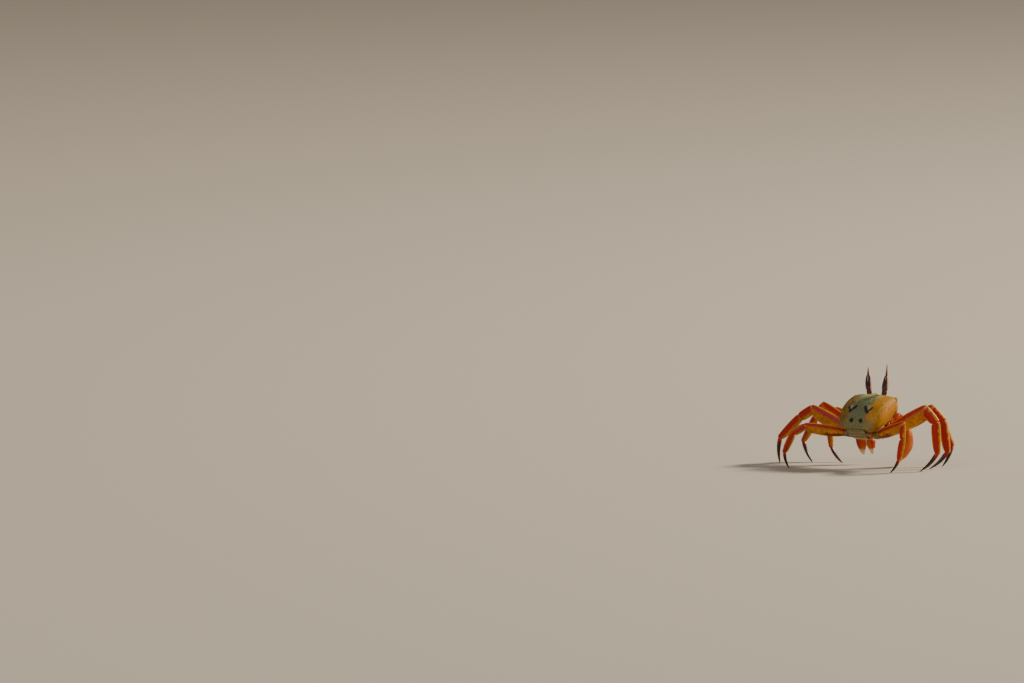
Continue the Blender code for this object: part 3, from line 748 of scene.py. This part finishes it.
def between(first, second):
    """The matrix that fits a membrane between the tip of one segment and the root of the next."""
    (_, points_a, (run_a, back_a, face_a)), (_, points_b, (run_b, _, face_b)) = limbs[first], limbs[second]
    start, end = Vector(end_of(first, True, 0.10)), Vector(end_of(second, False, 0.16))
    axis = (run_a + run_b).normalized()
    thick = (face_a if face_a.dot(face_b) < 0 else face_a + face_b).normalized()
    thick = (thick - axis * thick.dot(axis)).normalized()
    spans = [min(np.ptp(points_a @ way), np.ptp(points_b @ way)) for way in (back_a, face_a)]
    long = 0.06 * spans[0] + (end - start).length / 2
    size = (0.36 * spans[1], 0.26 * spans[0], long)
    return set_at((start + end) / 2, (thick, axis.cross(thick), axis), size)


def edge_beads(piece, signs, edge_from, reach, step, width, height):
    """Beads along the edges of a limb segment, one a step, and their places on it. The sign is 1 for the
    back's edge and -1 for the belly's, and the reach is from where to where along the segment."""
    values = limbs[piece.name][0]
    stands, places = [], []
    for sign in signs:
        rim = (sign * values[:, 1] > edge_from) & (values[:, 0] > reach[0]) & (values[:, 0] < reach[1])
        for place, normal, index in crest_points(piece, rim, sign * values[:, 1], values[:, 0], step):
            stands.append(standing(place, normal, width, height))
            places.append(values[index])
    return stands, places


MEMBRANE_RED = (0.50, 0.075, 0.006)
MEMBRANE_AMBER = (0.82, 0.33, 0.02)
LEG_BEAD = 0.34 * MM
# The edge granules take the full gold edge wash, partly a painted highlight.
edge_finish = leg_finish("leg_edge_granules", 0.0, 0.6, 1.0, 0.0)
membrane_finish = plain_finish(
    "joint_membrane", 0.5, 0.1, 1.5 * MM, MEMBRANE_RED, MEMBRANE_AMBER, relief=(0.4 * MM, 0.06 * MM, 0.6)
)
for leg in LEG_NAMES:
    chain = [f"{leg}_{segment}_shell" for segment in SEGMENTS]
    fits = [between(first, second) for first, second in zip(chain, chain[1:])]
    joined_copies(f"{leg}_membranes", membrane_finish, membrane_shape(), fits)
    # Fine granules saw both edges of the thigh and the back of the wrist and shin.
    stands, places = [], []
    for name, step, signs in zip(chain, (0.015, 0.05, 0.03), ((1, -1), (1,), (1,))):
        piece = bpy.data.objects[name]
        beads, spots = edge_beads(piece, signs, 0.7, (0.2, 0.96), step, LEG_BEAD, LEG_BEAD)
        stands += beads
        places += spots
    joined_copies(f"{leg}_granules", edge_finish, bead_shape(), stands, limb_places=places)


def hip_shape():
    """The short first segment of a limb, two units long: a barrel with a collar at its outer end."""
    barrel = fresh(bpy.ops.mesh.primitive_cylinder_add, vertices=16, radius=0.92, depth=2)
    cut_across((-0.5, 0.1, 0.45, 0.7, 0.86))
    heights = points_of(barrel)[0][:, 2]
    for low, high, share in ((0.6, 0.9, 1.16), (0.4, 0.5, 0.93), (0.95, 1.1, 0.72), (-1.1, -0.9, 0.8)):
        only(barrel)
        bpy.ops.object.mode_set(mode="EDIT")
        bpy.ops.mesh.select_mode(type="VERT")
        bpy.ops.mesh.select_all(action="DESELECT")
        bpy.ops.object.mode_set(mode="OBJECT")
        barrel.data.vertices.foreach_set("select", (heights > low) & (heights < high))
        bpy.ops.object.mode_set(mode="EDIT")
        bpy.ops.transform.resize(value=(share, share, 1))
        bpy.ops.object.mode_set(mode="OBJECT")
    subdivided(barrel, 2)
    return barrel


HIP_OUTWARDS = 0.9  # how far a hip turns from the line of its limb towards the side
HIP_INSET = 3.2  # millimetres from the root of the limb in to the middle of the hip
HIP_HALF_LENGTH = 4.6 * MM


def hip_stand(thigh, high, thick):
    """The matrix that seats a hip between the breastplate and the root of this limb."""
    _, _, (run, _, face) = limbs[thigh]
    root = Vector(end_of(thigh, False))
    outwards = Vector((math.copysign(1, root.x - BODY_ORIGIN.x), 0, 0))
    axis = (run + outwards * HIP_OUTWARDS).normalized()
    wide = (face - axis * face.dot(axis)).normalized()
    size = (thick, high, HIP_HALF_LENGTH)
    return set_at(root - axis * HIP_INSET * MM, (wide, axis.cross(wide), axis), size)


HIP_CREAM_HIGHLIGHT = (0.72, 0.46, 0.16)
MAROON_AND_SHADE = (0.26, 0.045, 0.020)
# Painted light and shade: the cream blotches stand in for bright highlights on the hips, and the maroon is
# partly painted shade under the body.
hip_finish, tree, raw = new_finish("hip_shell", 0.4, 0.15)
colour = mottled(raw, 3 * MM, 0.38, 0.62, MAROON_AND_SHADE, LEG_YELLOW)
colour = mottled(raw, 1.2 * MM, 0.55, 0.8, colour, HIP_CREAM_HIGHLIGHT)
relief = bumped(fade(grains(raw, 0.5 * MM), 0.8, 0.1), 0.06 * MM, 0.7)
coated(tree, colour, relief)
# The number of each leg, and half the height and half the thickness of its hip in millimetres
HIP_SIZES = ((1, 4.2, 3.0), (2, 4.5, 3.2), (3, 4.5, 3.2), (4, 3.4, 2.5))
for side in ("left", "right"):
    hips = []
    for number, high, thick in HIP_SIZES:
        hips.append(hip_stand(f"leg_{number}_{side}_thigh_shell", high * MM, thick * MM))
    joined_copies(f"hips_{side}", hip_finish, hip_shape(), hips)


# ---- Bristles ----
# Stiff straw-brown hairs, joined into one piece for each leg. They fringe the edges of the lower
# segments and run along the toes, and brush the front of the shins of the first two pairs.


def bristle_shape():
    """A hair one unit long: a three-sided spike bent a little over."""
    hair = fresh(bpy.ops.mesh.primitive_cone_add, vertices=3, radius1=0.5, depth=1, location=(0, 0, 0.5))
    bpy.ops.object.transform_apply(location=True, rotation=False, scale=False)
    cut_across((0.35, 0.7))
    with_modifier(hair, "SIMPLE_DEFORM", deform_method="BEND", angle=math.radians(28), deform_axis="Y")
    return hair


HAIR_BROWN = (0.13, 0.050, 0.012)
HAIR_STRAW = (0.42, 0.20, 0.05)
HAIR_WIDTH = 0.09 * MM
bristle_finish = plain_finish("bristle", 0.5, 0.0, 2 * MM, HAIR_BROWN, HAIR_STRAW)


def hairs_on(piece, count, wanted, lengths, lean, seed, row, rows):
    """Stands and skin patches of hairs on a limb segment, leaning towards its tip."""
    values, _, (run, _, _) = limbs[piece.name]
    places, normals, spots = scattered(piece, count, wanted, seed, values)
    reach = np.random.default_rng(seed + 1).uniform(*lengths, count) * MM
    turn = np.arctan2(spots[:, 1], spots[:, 2]) / math.tau + 0.5
    patches = np.stack((spots[:, 0] * 0.99, (row + 0.98 * turn) / rows), axis=1)
    aims = normals + lean * np.array(run)
    return [standing(at, aim, HAIR_WIDTH, size) for at, aim, size in zip(places, aims, reach)], patches


# A thick brush of hairs fills the gap between the hips of the second and third legs, where water is
# drawn in.
BRUSH_HAIRS, BRUSH_SPREAD = 260, 3.6 * MM
for number, side in enumerate(("left", "right")):
    hips = bpy.data.objects[f"hips_{side}"]
    points, normals = points_of(hips)
    gap = sum(end_of(f"leg_{leg}_{side}_thigh_shell", False) for leg in (2, 3)) / 2
    wanted = np.exp(-((np.linalg.norm(points - gap, axis=1) / BRUSH_SPREAD) ** 2))
    wanted *= ((gap - points) * normals).sum(axis=1) > 0
    places, leans = scattered(hips, BRUSH_HAIRS, wanted, 71 + number)
    reach = np.random.default_rng(73).uniform(1.2, 2.2, BRUSH_HAIRS) * MM
    outwards = np.array((1 if side == "left" else -1, 0, -0.4))
    hairs = zip(places, leans, reach)
    stands = [standing(at, lean + outwards, HAIR_WIDTH, size) for at, lean, size in hairs]
    patches = 0.5 + (places - gap)[:, 1:] / (40 * MM)
    joined_copies(f"hip_brush_{side}", bristle_finish, bristle_shape(), stands, patches)

for index, leg in enumerate(LEG_NAMES):
    stands, patches = [], []
    for row, segment in enumerate(SEGMENTS):
        piece = bpy.data.objects[f"{leg}_{segment}_shell"]
        root_to_tip, height, face = limbs[piece.name][0].T
        edges = ramp(np.abs(height), 0.82, 0.15)
        # Each tuft is a count of hairs, where they grow, their lengths in millimetres and their lean.
        tufts = {
            "thigh": ((60, edges * (height < 0) * (root_to_tip > 0.25), (0.5, 1.1), 0.9),),
            "carpus": ((36, edges, (0.5, 1.0), 0.9),),
            "propodus": ((120, edges, (0.7, 1.5), 0.8),),
            "dactyl": ((150, (root_to_tip < 0.85) * 1.0, (0.4, 0.9), 1.2),),
        }[segment]
        if segment == "propodus" and index < 4:
            brush = (face < -0.2) * (np.abs(height) < 0.6) * (root_to_tip > 0.12) * (root_to_tip < 0.92)
            tufts += ((300, brush.astype(float), (0.8, 1.6), 1.0),)
        for number, (count, wanted, lengths, lean) in enumerate(tufts):
            seed = 100 + index * 20 + row * 4 + number * 2
            more, spots = hairs_on(piece, count, wanted, lengths, lean, seed, row, len(SEGMENTS))
            stands += more
            patches.append(spots)
    patches = np.concatenate(patches)
    joined_copies(f"{leg}_bristles", bristle_finish, bristle_shape(), stands, patches)


# ---- Claws ----
# Two unequal pincers hang in front of the mouth. Each has an arm, a wrist, a swollen palm that runs out
# into the fixed finger, and a hinged finger. They are coarsely granular, orange, with ivory finger tips.

CLAW_ORANGE = (0.68, 0.115, 0.001)
CLAW_RED = (0.42, 0.020, 0.002)
CLAW_CREAM = (0.84, 0.66, 0.36)
CLAW_BELLY = (0.76, 0.20, 0.008)

claw_shell = {}
for segment, ivory_from in (("arm", 2.0), ("wrist", 2.0), ("palm", 0.82), ("finger", 0.60)):
    finish, tree, raw = new_finish(f"claw_{segment}_shell", 0.40, 0.06)
    root_to_tip, height, _ = axes_of(limb_place(tree))
    blotch = cloud(raw, 3.0 * MM)
    colour = tint(fade(maths("ADD", height, blotch), 0.2, 1.3), CLAW_ORANGE, CLAW_RED)
    colour = wash(colour, fade(height, -0.3, -0.98), 0.7, CLAW_BELLY)
    wandering = maths("ADD", root_to_tip, maths("MULTIPLY_ADD", blotch, 0.12, -0.06))
    colour = tint(fade(wandering, ivory_from, ivory_from + 0.12), colour, CLAW_CREAM)
    warts = fade(grains(raw, 0.9 * MM), 0.7, 0.05)
    relief = bumped(warts, 0.14 * MM, 0.7)
    relief = bumped(cloud(raw, 0.5 * MM), 0.05 * MM, 0.5, relief)
    coated(tree, colour, relief)
    claw_shell[segment] = finish
CLAW_SWELL = 0.18 * MM
for side in ("left", "right"):
    joint = np.array(BODY_ORIGIN)
    for segment, finish in claw_shell.items():
        piece = cast_from(f"claw_{side}_{segment}", finish, CLAW_SWELL, 3)
        limbs[piece.name] = limb_map(piece, joint)
        joint = end_of(piece.name, segment != "palm")


def tooth_shape():
    """A blunt tooth of the cutting edge, one unit tall."""
    tooth = fresh(bpy.ops.mesh.primitive_cone_add, vertices=6, radius1=0.5, radius2=0.22, depth=1)
    cut_across([0.2])
    subdivided(tooth, 1)
    return tooth


TOOTH_BUFF = (0.78, 0.52, 0.24)
TOOTH_IVORY = (0.90, 0.78, 0.52)
tooth_finish = plain_finish("claw_tooth", 0.3, 0.3, 1.2 * MM, TOOTH_BUFF, TOOTH_IVORY)
# For each claw segment, the step between the beads on its edges and the number scattered over it
CLAW_BEADS = (("arm", 0.055, 110), ("wrist", 0.07, 120), ("palm", 0.024, 520), ("finger", 0.09, 60))

for side, big in (("left", 1.0), ("right", 0.7)):
    palm, finger = (bpy.data.objects[f"claw_{side}_{segment}_shell"] for segment in ("palm", "finger"))
    stands = []
    for piece, other, start in ((palm, finger, 0.60), (finger, palm, 0.22)):
        values, points, _ = limbs[piece.name]
        opposite = limbs[other.name][1]
        facing = opposite[limbs[other.name][0][:, 0] > 0.6].mean(axis=0)
        near = -np.linalg.norm(points - facing, axis=1)
        cutting = (values[:, 0] > start) & (values[:, 0] < 0.95)
        edge = crest_points(piece, cutting, near, values[:, 0], 0.030 if piece is palm else 0.058)
        sizes = np.random.default_rng(31).uniform(0.5, 1.15, len(edge)) * big * MM
        for (place, normal, _), size in zip(edge, sizes):
            aim = (Vector(facing) - place).normalized() + normal
            stands.append(standing(place + normal * 0.1 * MM, aim, size, 0.9 * size))
    joined_copies(f"claw_{side}_teeth", tooth_finish, tooth_shape(), stands)

    # Beads edge each segment above and below, and scatter over the outer faces.
    for segment, step, count in CLAW_BEADS:
        piece = bpy.data.objects[f"claw_{side}_{segment}_shell"]
        bead = (0.75 * big * MM, 0.6 * big * MM)
        stands, places = edge_beads(piece, (1, -1), 0.6, (0.08, 0.85), step, *bead)
        values = limbs[piece.name][0]
        tapering = segment in ("palm", "finger")
        wanted = np.clip(1.1 - values[:, 0], 0, 1) if tapering else np.ones(len(values))
        spread = scattered(piece, count, wanted, 9, values)
        sizes = np.random.default_rng(8).uniform(0.3, 0.7, count) * big * MM
        for place, normal, spot, size in zip(*spread, sizes):
            stands.append(standing(place, normal, size, 0.55 * size))
            places.append(spot)
        finish = claw_shell[segment]
        joined_copies(f"{piece.name}_granules", finish, bead_shape(), stands, limb_places=places)

    chain = [f"claw_{side}_{segment}_shell" for segment in ("arm", "wrist", "palm")]
    fits = [between(first, second) for first, second in zip(chain, chain[1:])]
    joined_copies(f"claw_{side}_membranes", membrane_finish, membrane_shape(), fits)
    hip = hip_stand(chain[0], 3.6 * big**0.5 * MM, 3.4 * big**0.5 * MM)
    joined_copies(f"claw_{side}_hip", hip_finish, hip_shape(), [hip])

# The big palm's stridulating ridge: a short upright row of fine bars on its inner face.
big_palm = bpy.data.objects["claw_left_palm_shell"]
values = limbs[big_palm.name][0]
inner = (np.abs(values[:, 0] - 0.42) < 0.03) & (values[:, 2] > 0.4) & (np.abs(values[:, 1]) < 0.55)
SOUND_BAR = (1.3 * MM, 0.30 * MM, 0.5 * MM)  # its length, width and height
bars = []
for place, normal, _ in crest_points(big_palm, inner, values[:, 2], values[:, 1], 0.045):
    run = limbs[big_palm.name][2][0]
    across_bar = (run - normal * run.dot(normal)).normalized()
    bars.append(set_at(place, (across_bar, normal.cross(across_bar), normal), SOUND_BAR))
joined_copies("claw_left_sound_ridge", tooth_finish, bead_shape(), bars)


# ---- Underside ----
# The breastplate, the folded tail flap and the two doors of the mouth are thin pale plates with sutures.

PALE_PLATE = (0.66, 0.48, 0.24)
PLATE_ROSE = (0.40, 0.115, 0.055)
SEAM_BROWN = (0.13, 0.040, 0.014)


def plate_finish(name, first, second, rose_from, rose_to, hind_green):
    """Thin shell of an underside plate, greener at its hind end and darker maroon-rose towards the sides:
    partly the plate's own rose, partly painted shade under the leg bases.
    """
    finish, tree, raw = new_finish(name, 0.45, 0.1)
    left, _, up = axes_of(body_place(tree))
    mottle = cloud(raw, 4 * MM)
    blotch = fade(mottle, 0.35, 0.65)
    colour = tint(fade(mottle, 0.3, 0.75), first, second)
    # Painted shade: darker maroon towards the sides, under the leg bases, mixed with the plate's own rose.
    rose_and_shade = fade(maths("ABSOLUTE", left), rose_from * MM, rose_to * MM)
    colour = tint(rose_and_shade, colour, tint(blotch, MAROON_AND_SHADE, PLATE_ROSE))
    green = times(fade(up, -1.5 * MM, 2.5 * MM), hind_green)
    colour = tint(green, colour, tint(blotch, GREY_GREEN, HIND_GREEN))
    freckles = fade(cloud(raw, 0.8 * MM), 0.6, 0.4)
    colour = wash(colour, freckles, 0.3, (0.20, 0.06, 0.03))
    colour = wash(colour, carried(tree, "seam"), 0.75, SEAM_BROWN)
    coated(tree, colour, bumped(cloud(raw, 0.7 * MM, 4.0), 0.08 * MM, 0.5))
    return finish


breast_finish = plate_finish("breastplate_shell", (0.46, 0.22, 0.07), PALE_PLATE, 9.0, 13.0, 0.0)
flap_finish = plate_finish("tail_flap_shell", (0.48, 0.26, 0.09), PALE_PLATE, 8.0, 12.0, 0.9)
door_finish = plate_finish("mouth_door_shell", (0.50, 0.33, 0.13), PALE_PLATE, 90.0, 91.0, 0.0)


def under(piece, across, along):
    """The point of an underside piece right above this place."""
    return piece.ray_cast(in_body(across, along, -40), in_body(0, 0, 1) - in_body(0, 0, 0))[1]


def seamed(piece, lines, width, depth):
    """Sinks a narrow seam along each line of points, and marks it for the finish."""
    seams = np.zeros(len(piece.data.vertices))
    for line in lines:
        weights = near_line(points_of(piece)[0], line, width)
        seams = np.maximum(seams, weights)
        pressed(piece, weights, -depth)
    carry(piece.data, "seam", seams**2)


PLATE_SWELL = 0.08 * MM
sternum = cast_from("sternum", breast_finish, PLATE_SWELL, 4)
# The seams between the plates of the breast, on one side, as places (across, along) from middle to hip
SEAMS = (
    ((3.0, 9.8), (6.0, 11.4)),
    ((4.0, 4.6), (9.0, 6.2), (12.2, 7.6)),
    ((5.2, -0.6), (10.0, 0.6), (14.4, 2.0)),
    ((6.0, -5.6), (10.0, -4.8), (13.8, -4.0)),
    ((7.4, -11.0), (11.0, -10.2)),
    ((0.3, 14.4), (0.3, 8.0)),
)
lines = []
for side in (1, -1):
    for seam in SEAMS:
        lines.append([under(sternum, side * across, along) for across, along in seam])
seamed(sternum, lines, 0.8 * MM, 0.4 * MM)

abdomen = cast_from("abdomen", flap_finish, PLATE_SWELL, 4)
# The joints of the flap, as the places (along, up) of a line across it. The last piece is the tail plate.
FLAP_JOINTS = (
    (-22.1, 9.8),
    (-21.6, 7.0),
    (-20.5, 3.6),
    (-17.6, 0.0),
    (-12.6, -3.4),
    (-5.0, -5.3),
    (3.2, -6.0),
)
FLAP_MIDDLE = (-8, 10)  # the place (along, up) that the flap wraps round
lines = []
for along, up in FLAP_JOINTS:
    away_along, away_up = 0.25 * (along - FLAP_MIDDLE[0]), 0.25 * (up - FLAP_MIDDLE[1])
    line = []
    for across in (-10, -7, -3.5, 0, 3.5, 7, 10):
        outside = in_body(across, along + away_along, up + away_up)
        line.append(abdomen.closest_point_on_mesh(outside)[1])
    lines.append(line)
seamed(abdomen, lines, 0.85 * MM, 0.35 * MM)

FRINGE_HAIRS, FRINGE_HAIR = 260, (0.08 * MM, 1.3 * MM)  # their number, and the width and length of one
for side in (1, -1):
    name = "left" if side > 0 else "right"
    door = cast_from(f"maxilliped_{name}", door_finish, PLATE_SWELL, 3)
    # Each door is two plates, with a seam across and a furrow along the lower one.
    seam = [in_body(side * 0.2, 21, 7.6), in_body(side * 8.2, 21, 8.8)]
    furrow = [in_body(side * 2.6, 20.8, 6.8), in_body(side * 3.4, 19.4, 0.5)]
    seamed(door, (seam, furrow), 0.95 * MM, 0.45 * MM)
    # A fringe of soft hairs runs down the inner edge and across the top.
    points, normals = points_of(door)
    across, along, up = body_places(points)
    fringe = (side * across < 1.3) * (along > 17.5) + (up > 11.6) * 1.0
    on_plate = np.stack((across, up, up), axis=1)
    places, leans, spots = scattered(door, FRINGE_HAIRS, np.clip(fringe, 0, 1), 61, on_plate)
    ahead = np.array(in_body(0, 1, 0) - in_body(0, 0, 0)) / MM
    stands = [standing(at, lean + 0.8 * ahead, *FRINGE_HAIR) for at, lean in zip(places, leans)]
    patches = np.stack((0.5 + spots[:, 0] / 20, 0.2 + spots[:, 1] / 20), axis=1)
    fringe_name = f"maxilliped_{name}_fringe"
    joined_copies(fringe_name, bristle_finish, bristle_shape(), stands, patches)


# ---- Eyes ----
# Each eye stands on a short stalk. A swollen dark cornea wraps round the stalk, which runs on above it
# as a slender horn. The cornea is wet and glossy.

STALK_ROSE = (0.42, 0.115, 0.050)
STALK_CREAM = (0.70, 0.40, 0.20)
EYE_MAROON = (0.085, 0.008, 0.006)
EYE_BLACK = (0.016, 0.003, 0.003)
EYE_PINK_HIGHLIGHT = (0.66, 0.30, 0.24)
# Heights above the floor between which the stalk and the horn darken towards the eye
STALK_DARKENS = (66 * MM, 71 * MM)
HORN_DARKENS = (94 * MM, 88.5 * MM)


VIEW_TURN = math.radians(38)  # the camera looks from behind and from the crab's right
# view_right also sets the side of each eye that takes the painted highlight.
view_right = Vector((-math.cos(VIEW_TURN), -math.sin(VIEW_TURN), 0))


def lit_side(place, node, share, soft):
    """A painted highlight: the pale stripe that runs up the side of an eye facing the camera's right, where
    the key light falls, 0 to 1 over a soft edge.
    """
    low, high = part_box(node)
    offset = vector_maths("SUBTRACT", place, tuple((low + high) / 2))
    reach = vector_maths("DOT_PRODUCT", offset, tuple(view_right), 1)
    _, behind, _ = axes_of(offset)
    stripe = fade(reach, share * MM, (share + soft) * MM)
    return times(stripe, fade(behind, -2.9 * MM, -2.1 * MM))


stalk_finish, tree, raw = new_finish("eyestalk_shell", 0.38, 0.15)
mottle = cloud(raw, 1.2 * MM)
_, _, height = axes_of(raw)
colour = tint(fade(mottle, 0.35, 0.7), STALK_ROSE, STALK_CREAM)
colour = tint(fade(height, *STALK_DARKENS), colour, EYE_MAROON)
coated(tree, colour, bumped(mottle, 0.06 * MM, 0.4))

cornea_finishes = {}
for side in ("left", "right"):
    finish, tree, raw = new_finish(f"cornea_{side}", 0.16, 0.7)
    mottle = cloud(raw, 1.6 * MM)
    colour = tint(fade(mottle, 0.35, 0.75), EYE_BLACK, EYE_MAROON)
    # Painted highlight: a pale pink stripe up the side of each cornea that faces the camera's right.
    pale = lit_side(swayed(raw, 2 * MM, 0.8 * MM), f"cornea_{side}", 1.0, 1.3)
    colour = wash(colour, pale, 0.85, EYE_PINK_HIGHLIGHT)
    coated(tree, colour, bumped(grains(raw, 0.12 * MM), 0.01 * MM, 0.3))
    cornea_finishes[side] = finish

horn_finish, tree, raw = new_finish("eye_horn", 0.42, 0.2)
_, _, height = axes_of(raw)
colour = mottled(raw, 1.0 * MM, 0.35, 0.7, (0.26, 0.075, 0.015), (0.44, 0.19, 0.05))
colour = tint(fade(height, *HORN_DARKENS), colour, EYE_MAROON)
coated(tree, colour, bumped(cloud(raw, 0.4 * MM), 0.05 * MM, 0.5))

collar_finish = plain_finish("eye_collar", 0.4, 0.2, 0.8 * MM, EYE_BLACK, EYE_MAROON, low=0.35)
EYE_SWELL, FEELER_SWELL = 0.05 * MM, 0.03 * MM
NECK_LENGTH, NECK_DEPTH = 3 * MM, 0.45 * MM  # where the stalk narrows below the eye
# For each collar, the segment whose end it wraps, whether that end is the top one, how much of it the
# collar is fitted to, its rise above that and half its height, in millimetres
COLLARS = (("eyestalk", True, 1.2, 0.1, 2.2), ("horn", False, 0.9, -0.2, 1.5))
for side in ("left", "right"):
    eye_finishes = {"eyestalk": stalk_finish, "cornea": cornea_finishes[side], "horn": horn_finish}
    for part, finish in eye_finishes.items():
        piece = cast_from(f"{part}_{side}", finish, EYE_SWELL, 3)
        if part == "eyestalk":
            heights = points_of(piece)[0][:, 2]
            neck = np.clip((heights - heights.max()) / NECK_LENGTH + 1, 0, 1)
            pressed(piece, neck, -NECK_DEPTH)
    # Soft dark collars join the stalk to its eye, and the eye to its horn.
    collars = []
    for part, at_top, fitted, rise, half in COLLARS:
        points, _ = points_of(bpy.data.objects[f"{part}_{side}_shell"])
        heights = points[:, 2]
        at_end = heights > heights.max() - fitted * MM if at_top else heights < heights.min() + fitted * MM
        ring = points[at_end]
        width = 1.01 * (0.5 * np.ptp(ring[:, 0]))
        place = Vector(ring.mean(axis=0)) + Vector((0, 0, rise * MM))
        collars.append(Matrix.LocRotScale(place, None, Vector((width, width, half * MM))))
    joined_copies(f"eye_collars_{side}", collar_finish, membrane_shape(), collars)
    cast_from(f"antenna_{side}", stalk_finish, FEELER_SWELL, 2)


# ---- Stage ----
# A plain pale floor, one large soft key light from the right, a broad fill and a dim even sky.

bpy.ops.mesh.primitive_plane_add(size=120)
floor = bpy.context.object
floor.name = "floor"
floor_finish, tree, _ = new_finish("floor_card", 0.85)
coated(tree, (0.465, 0.388, 0.298, 1))
floor.data.materials.append(floor_finish)

VIEW_RISE = math.radians(5)
view_ahead = Vector(
    (
        math.sin(VIEW_TURN) * math.cos(VIEW_RISE),
        -math.cos(VIEW_TURN) * math.cos(VIEW_RISE),
        -math.sin(VIEW_RISE),
    )
)
view_up = view_right.cross(view_ahead)
crab_foot = Vector((BODY_ORIGIN.x, BODY_ORIGIN.y, 0))


def soft_light(name, place, aim, size, watts, colour):
    """A square area light at this place, turned to the aim."""
    lamp = bpy.data.lights.new(name, "AREA")
    lamp.size, lamp.energy, lamp.color = size, watts, colour
    holder = bpy.data.objects.new(name, lamp)
    bpy.context.scene.collection.objects.link(holder)
    holder.location = place
    holder.rotation_euler = (aim - place).to_track_quat("-Z", "Y").to_euler()


KEY_DISTANCE, FILL_DISTANCE = 6, 5  # metres
middle = crab_foot + Vector((0, 0, 0.04))
flat_ahead = Vector((math.sin(VIEW_TURN), -math.cos(VIEW_TURN), 0))
key_way = view_right + flat_ahead * 0.35 + Vector((0, 0, 0.75))
fill_way = -view_right * 0.6 - flat_ahead * 1.1 + Vector((0, 0, 0.9))
soft_light("key", middle + key_way * KEY_DISTANCE, middle, 1.5, 1100, (1, 0.95, 0.86))
soft_light("fill", middle + fill_way * FILL_DISTANCE, middle, 4.0, 170, (0.92, 0.96, 1))

world = bpy.data.worlds.new("studio")
world.use_nodes = True
sky = {"Color": (0.80, 0.78, 0.75, 1), "Strength": 0.28}
feed(world.node_tree.nodes["Background"], sky)
bpy.context.scene.world = world

CAMERA_DISTANCE = 10.81  # metres
LENS, SENSOR = 400, 36  # millimetres
CRAB_RIGHT_OF_CENTRE, CRAB_BELOW_CENTRE = 0.3407, 0.1202
camera_data = bpy.data.cameras.new("camera")
camera_data.lens, camera_data.sensor_width = LENS, SENSOR
camera_data.clip_start, camera_data.clip_end = 0.1, 200
camera = bpy.data.objects.new("camera", camera_data)
bpy.context.scene.collection.objects.link(camera)
aim = crab_foot - view_right * CRAB_RIGHT_OF_CENTRE + view_up * CRAB_BELOW_CENTRE
place = aim - view_ahead * CAMERA_DISTANCE
camera.matrix_world = set_at(place, (view_right, view_up, -view_ahead), (1, 1, 1))
bpy.context.scene.camera = camera
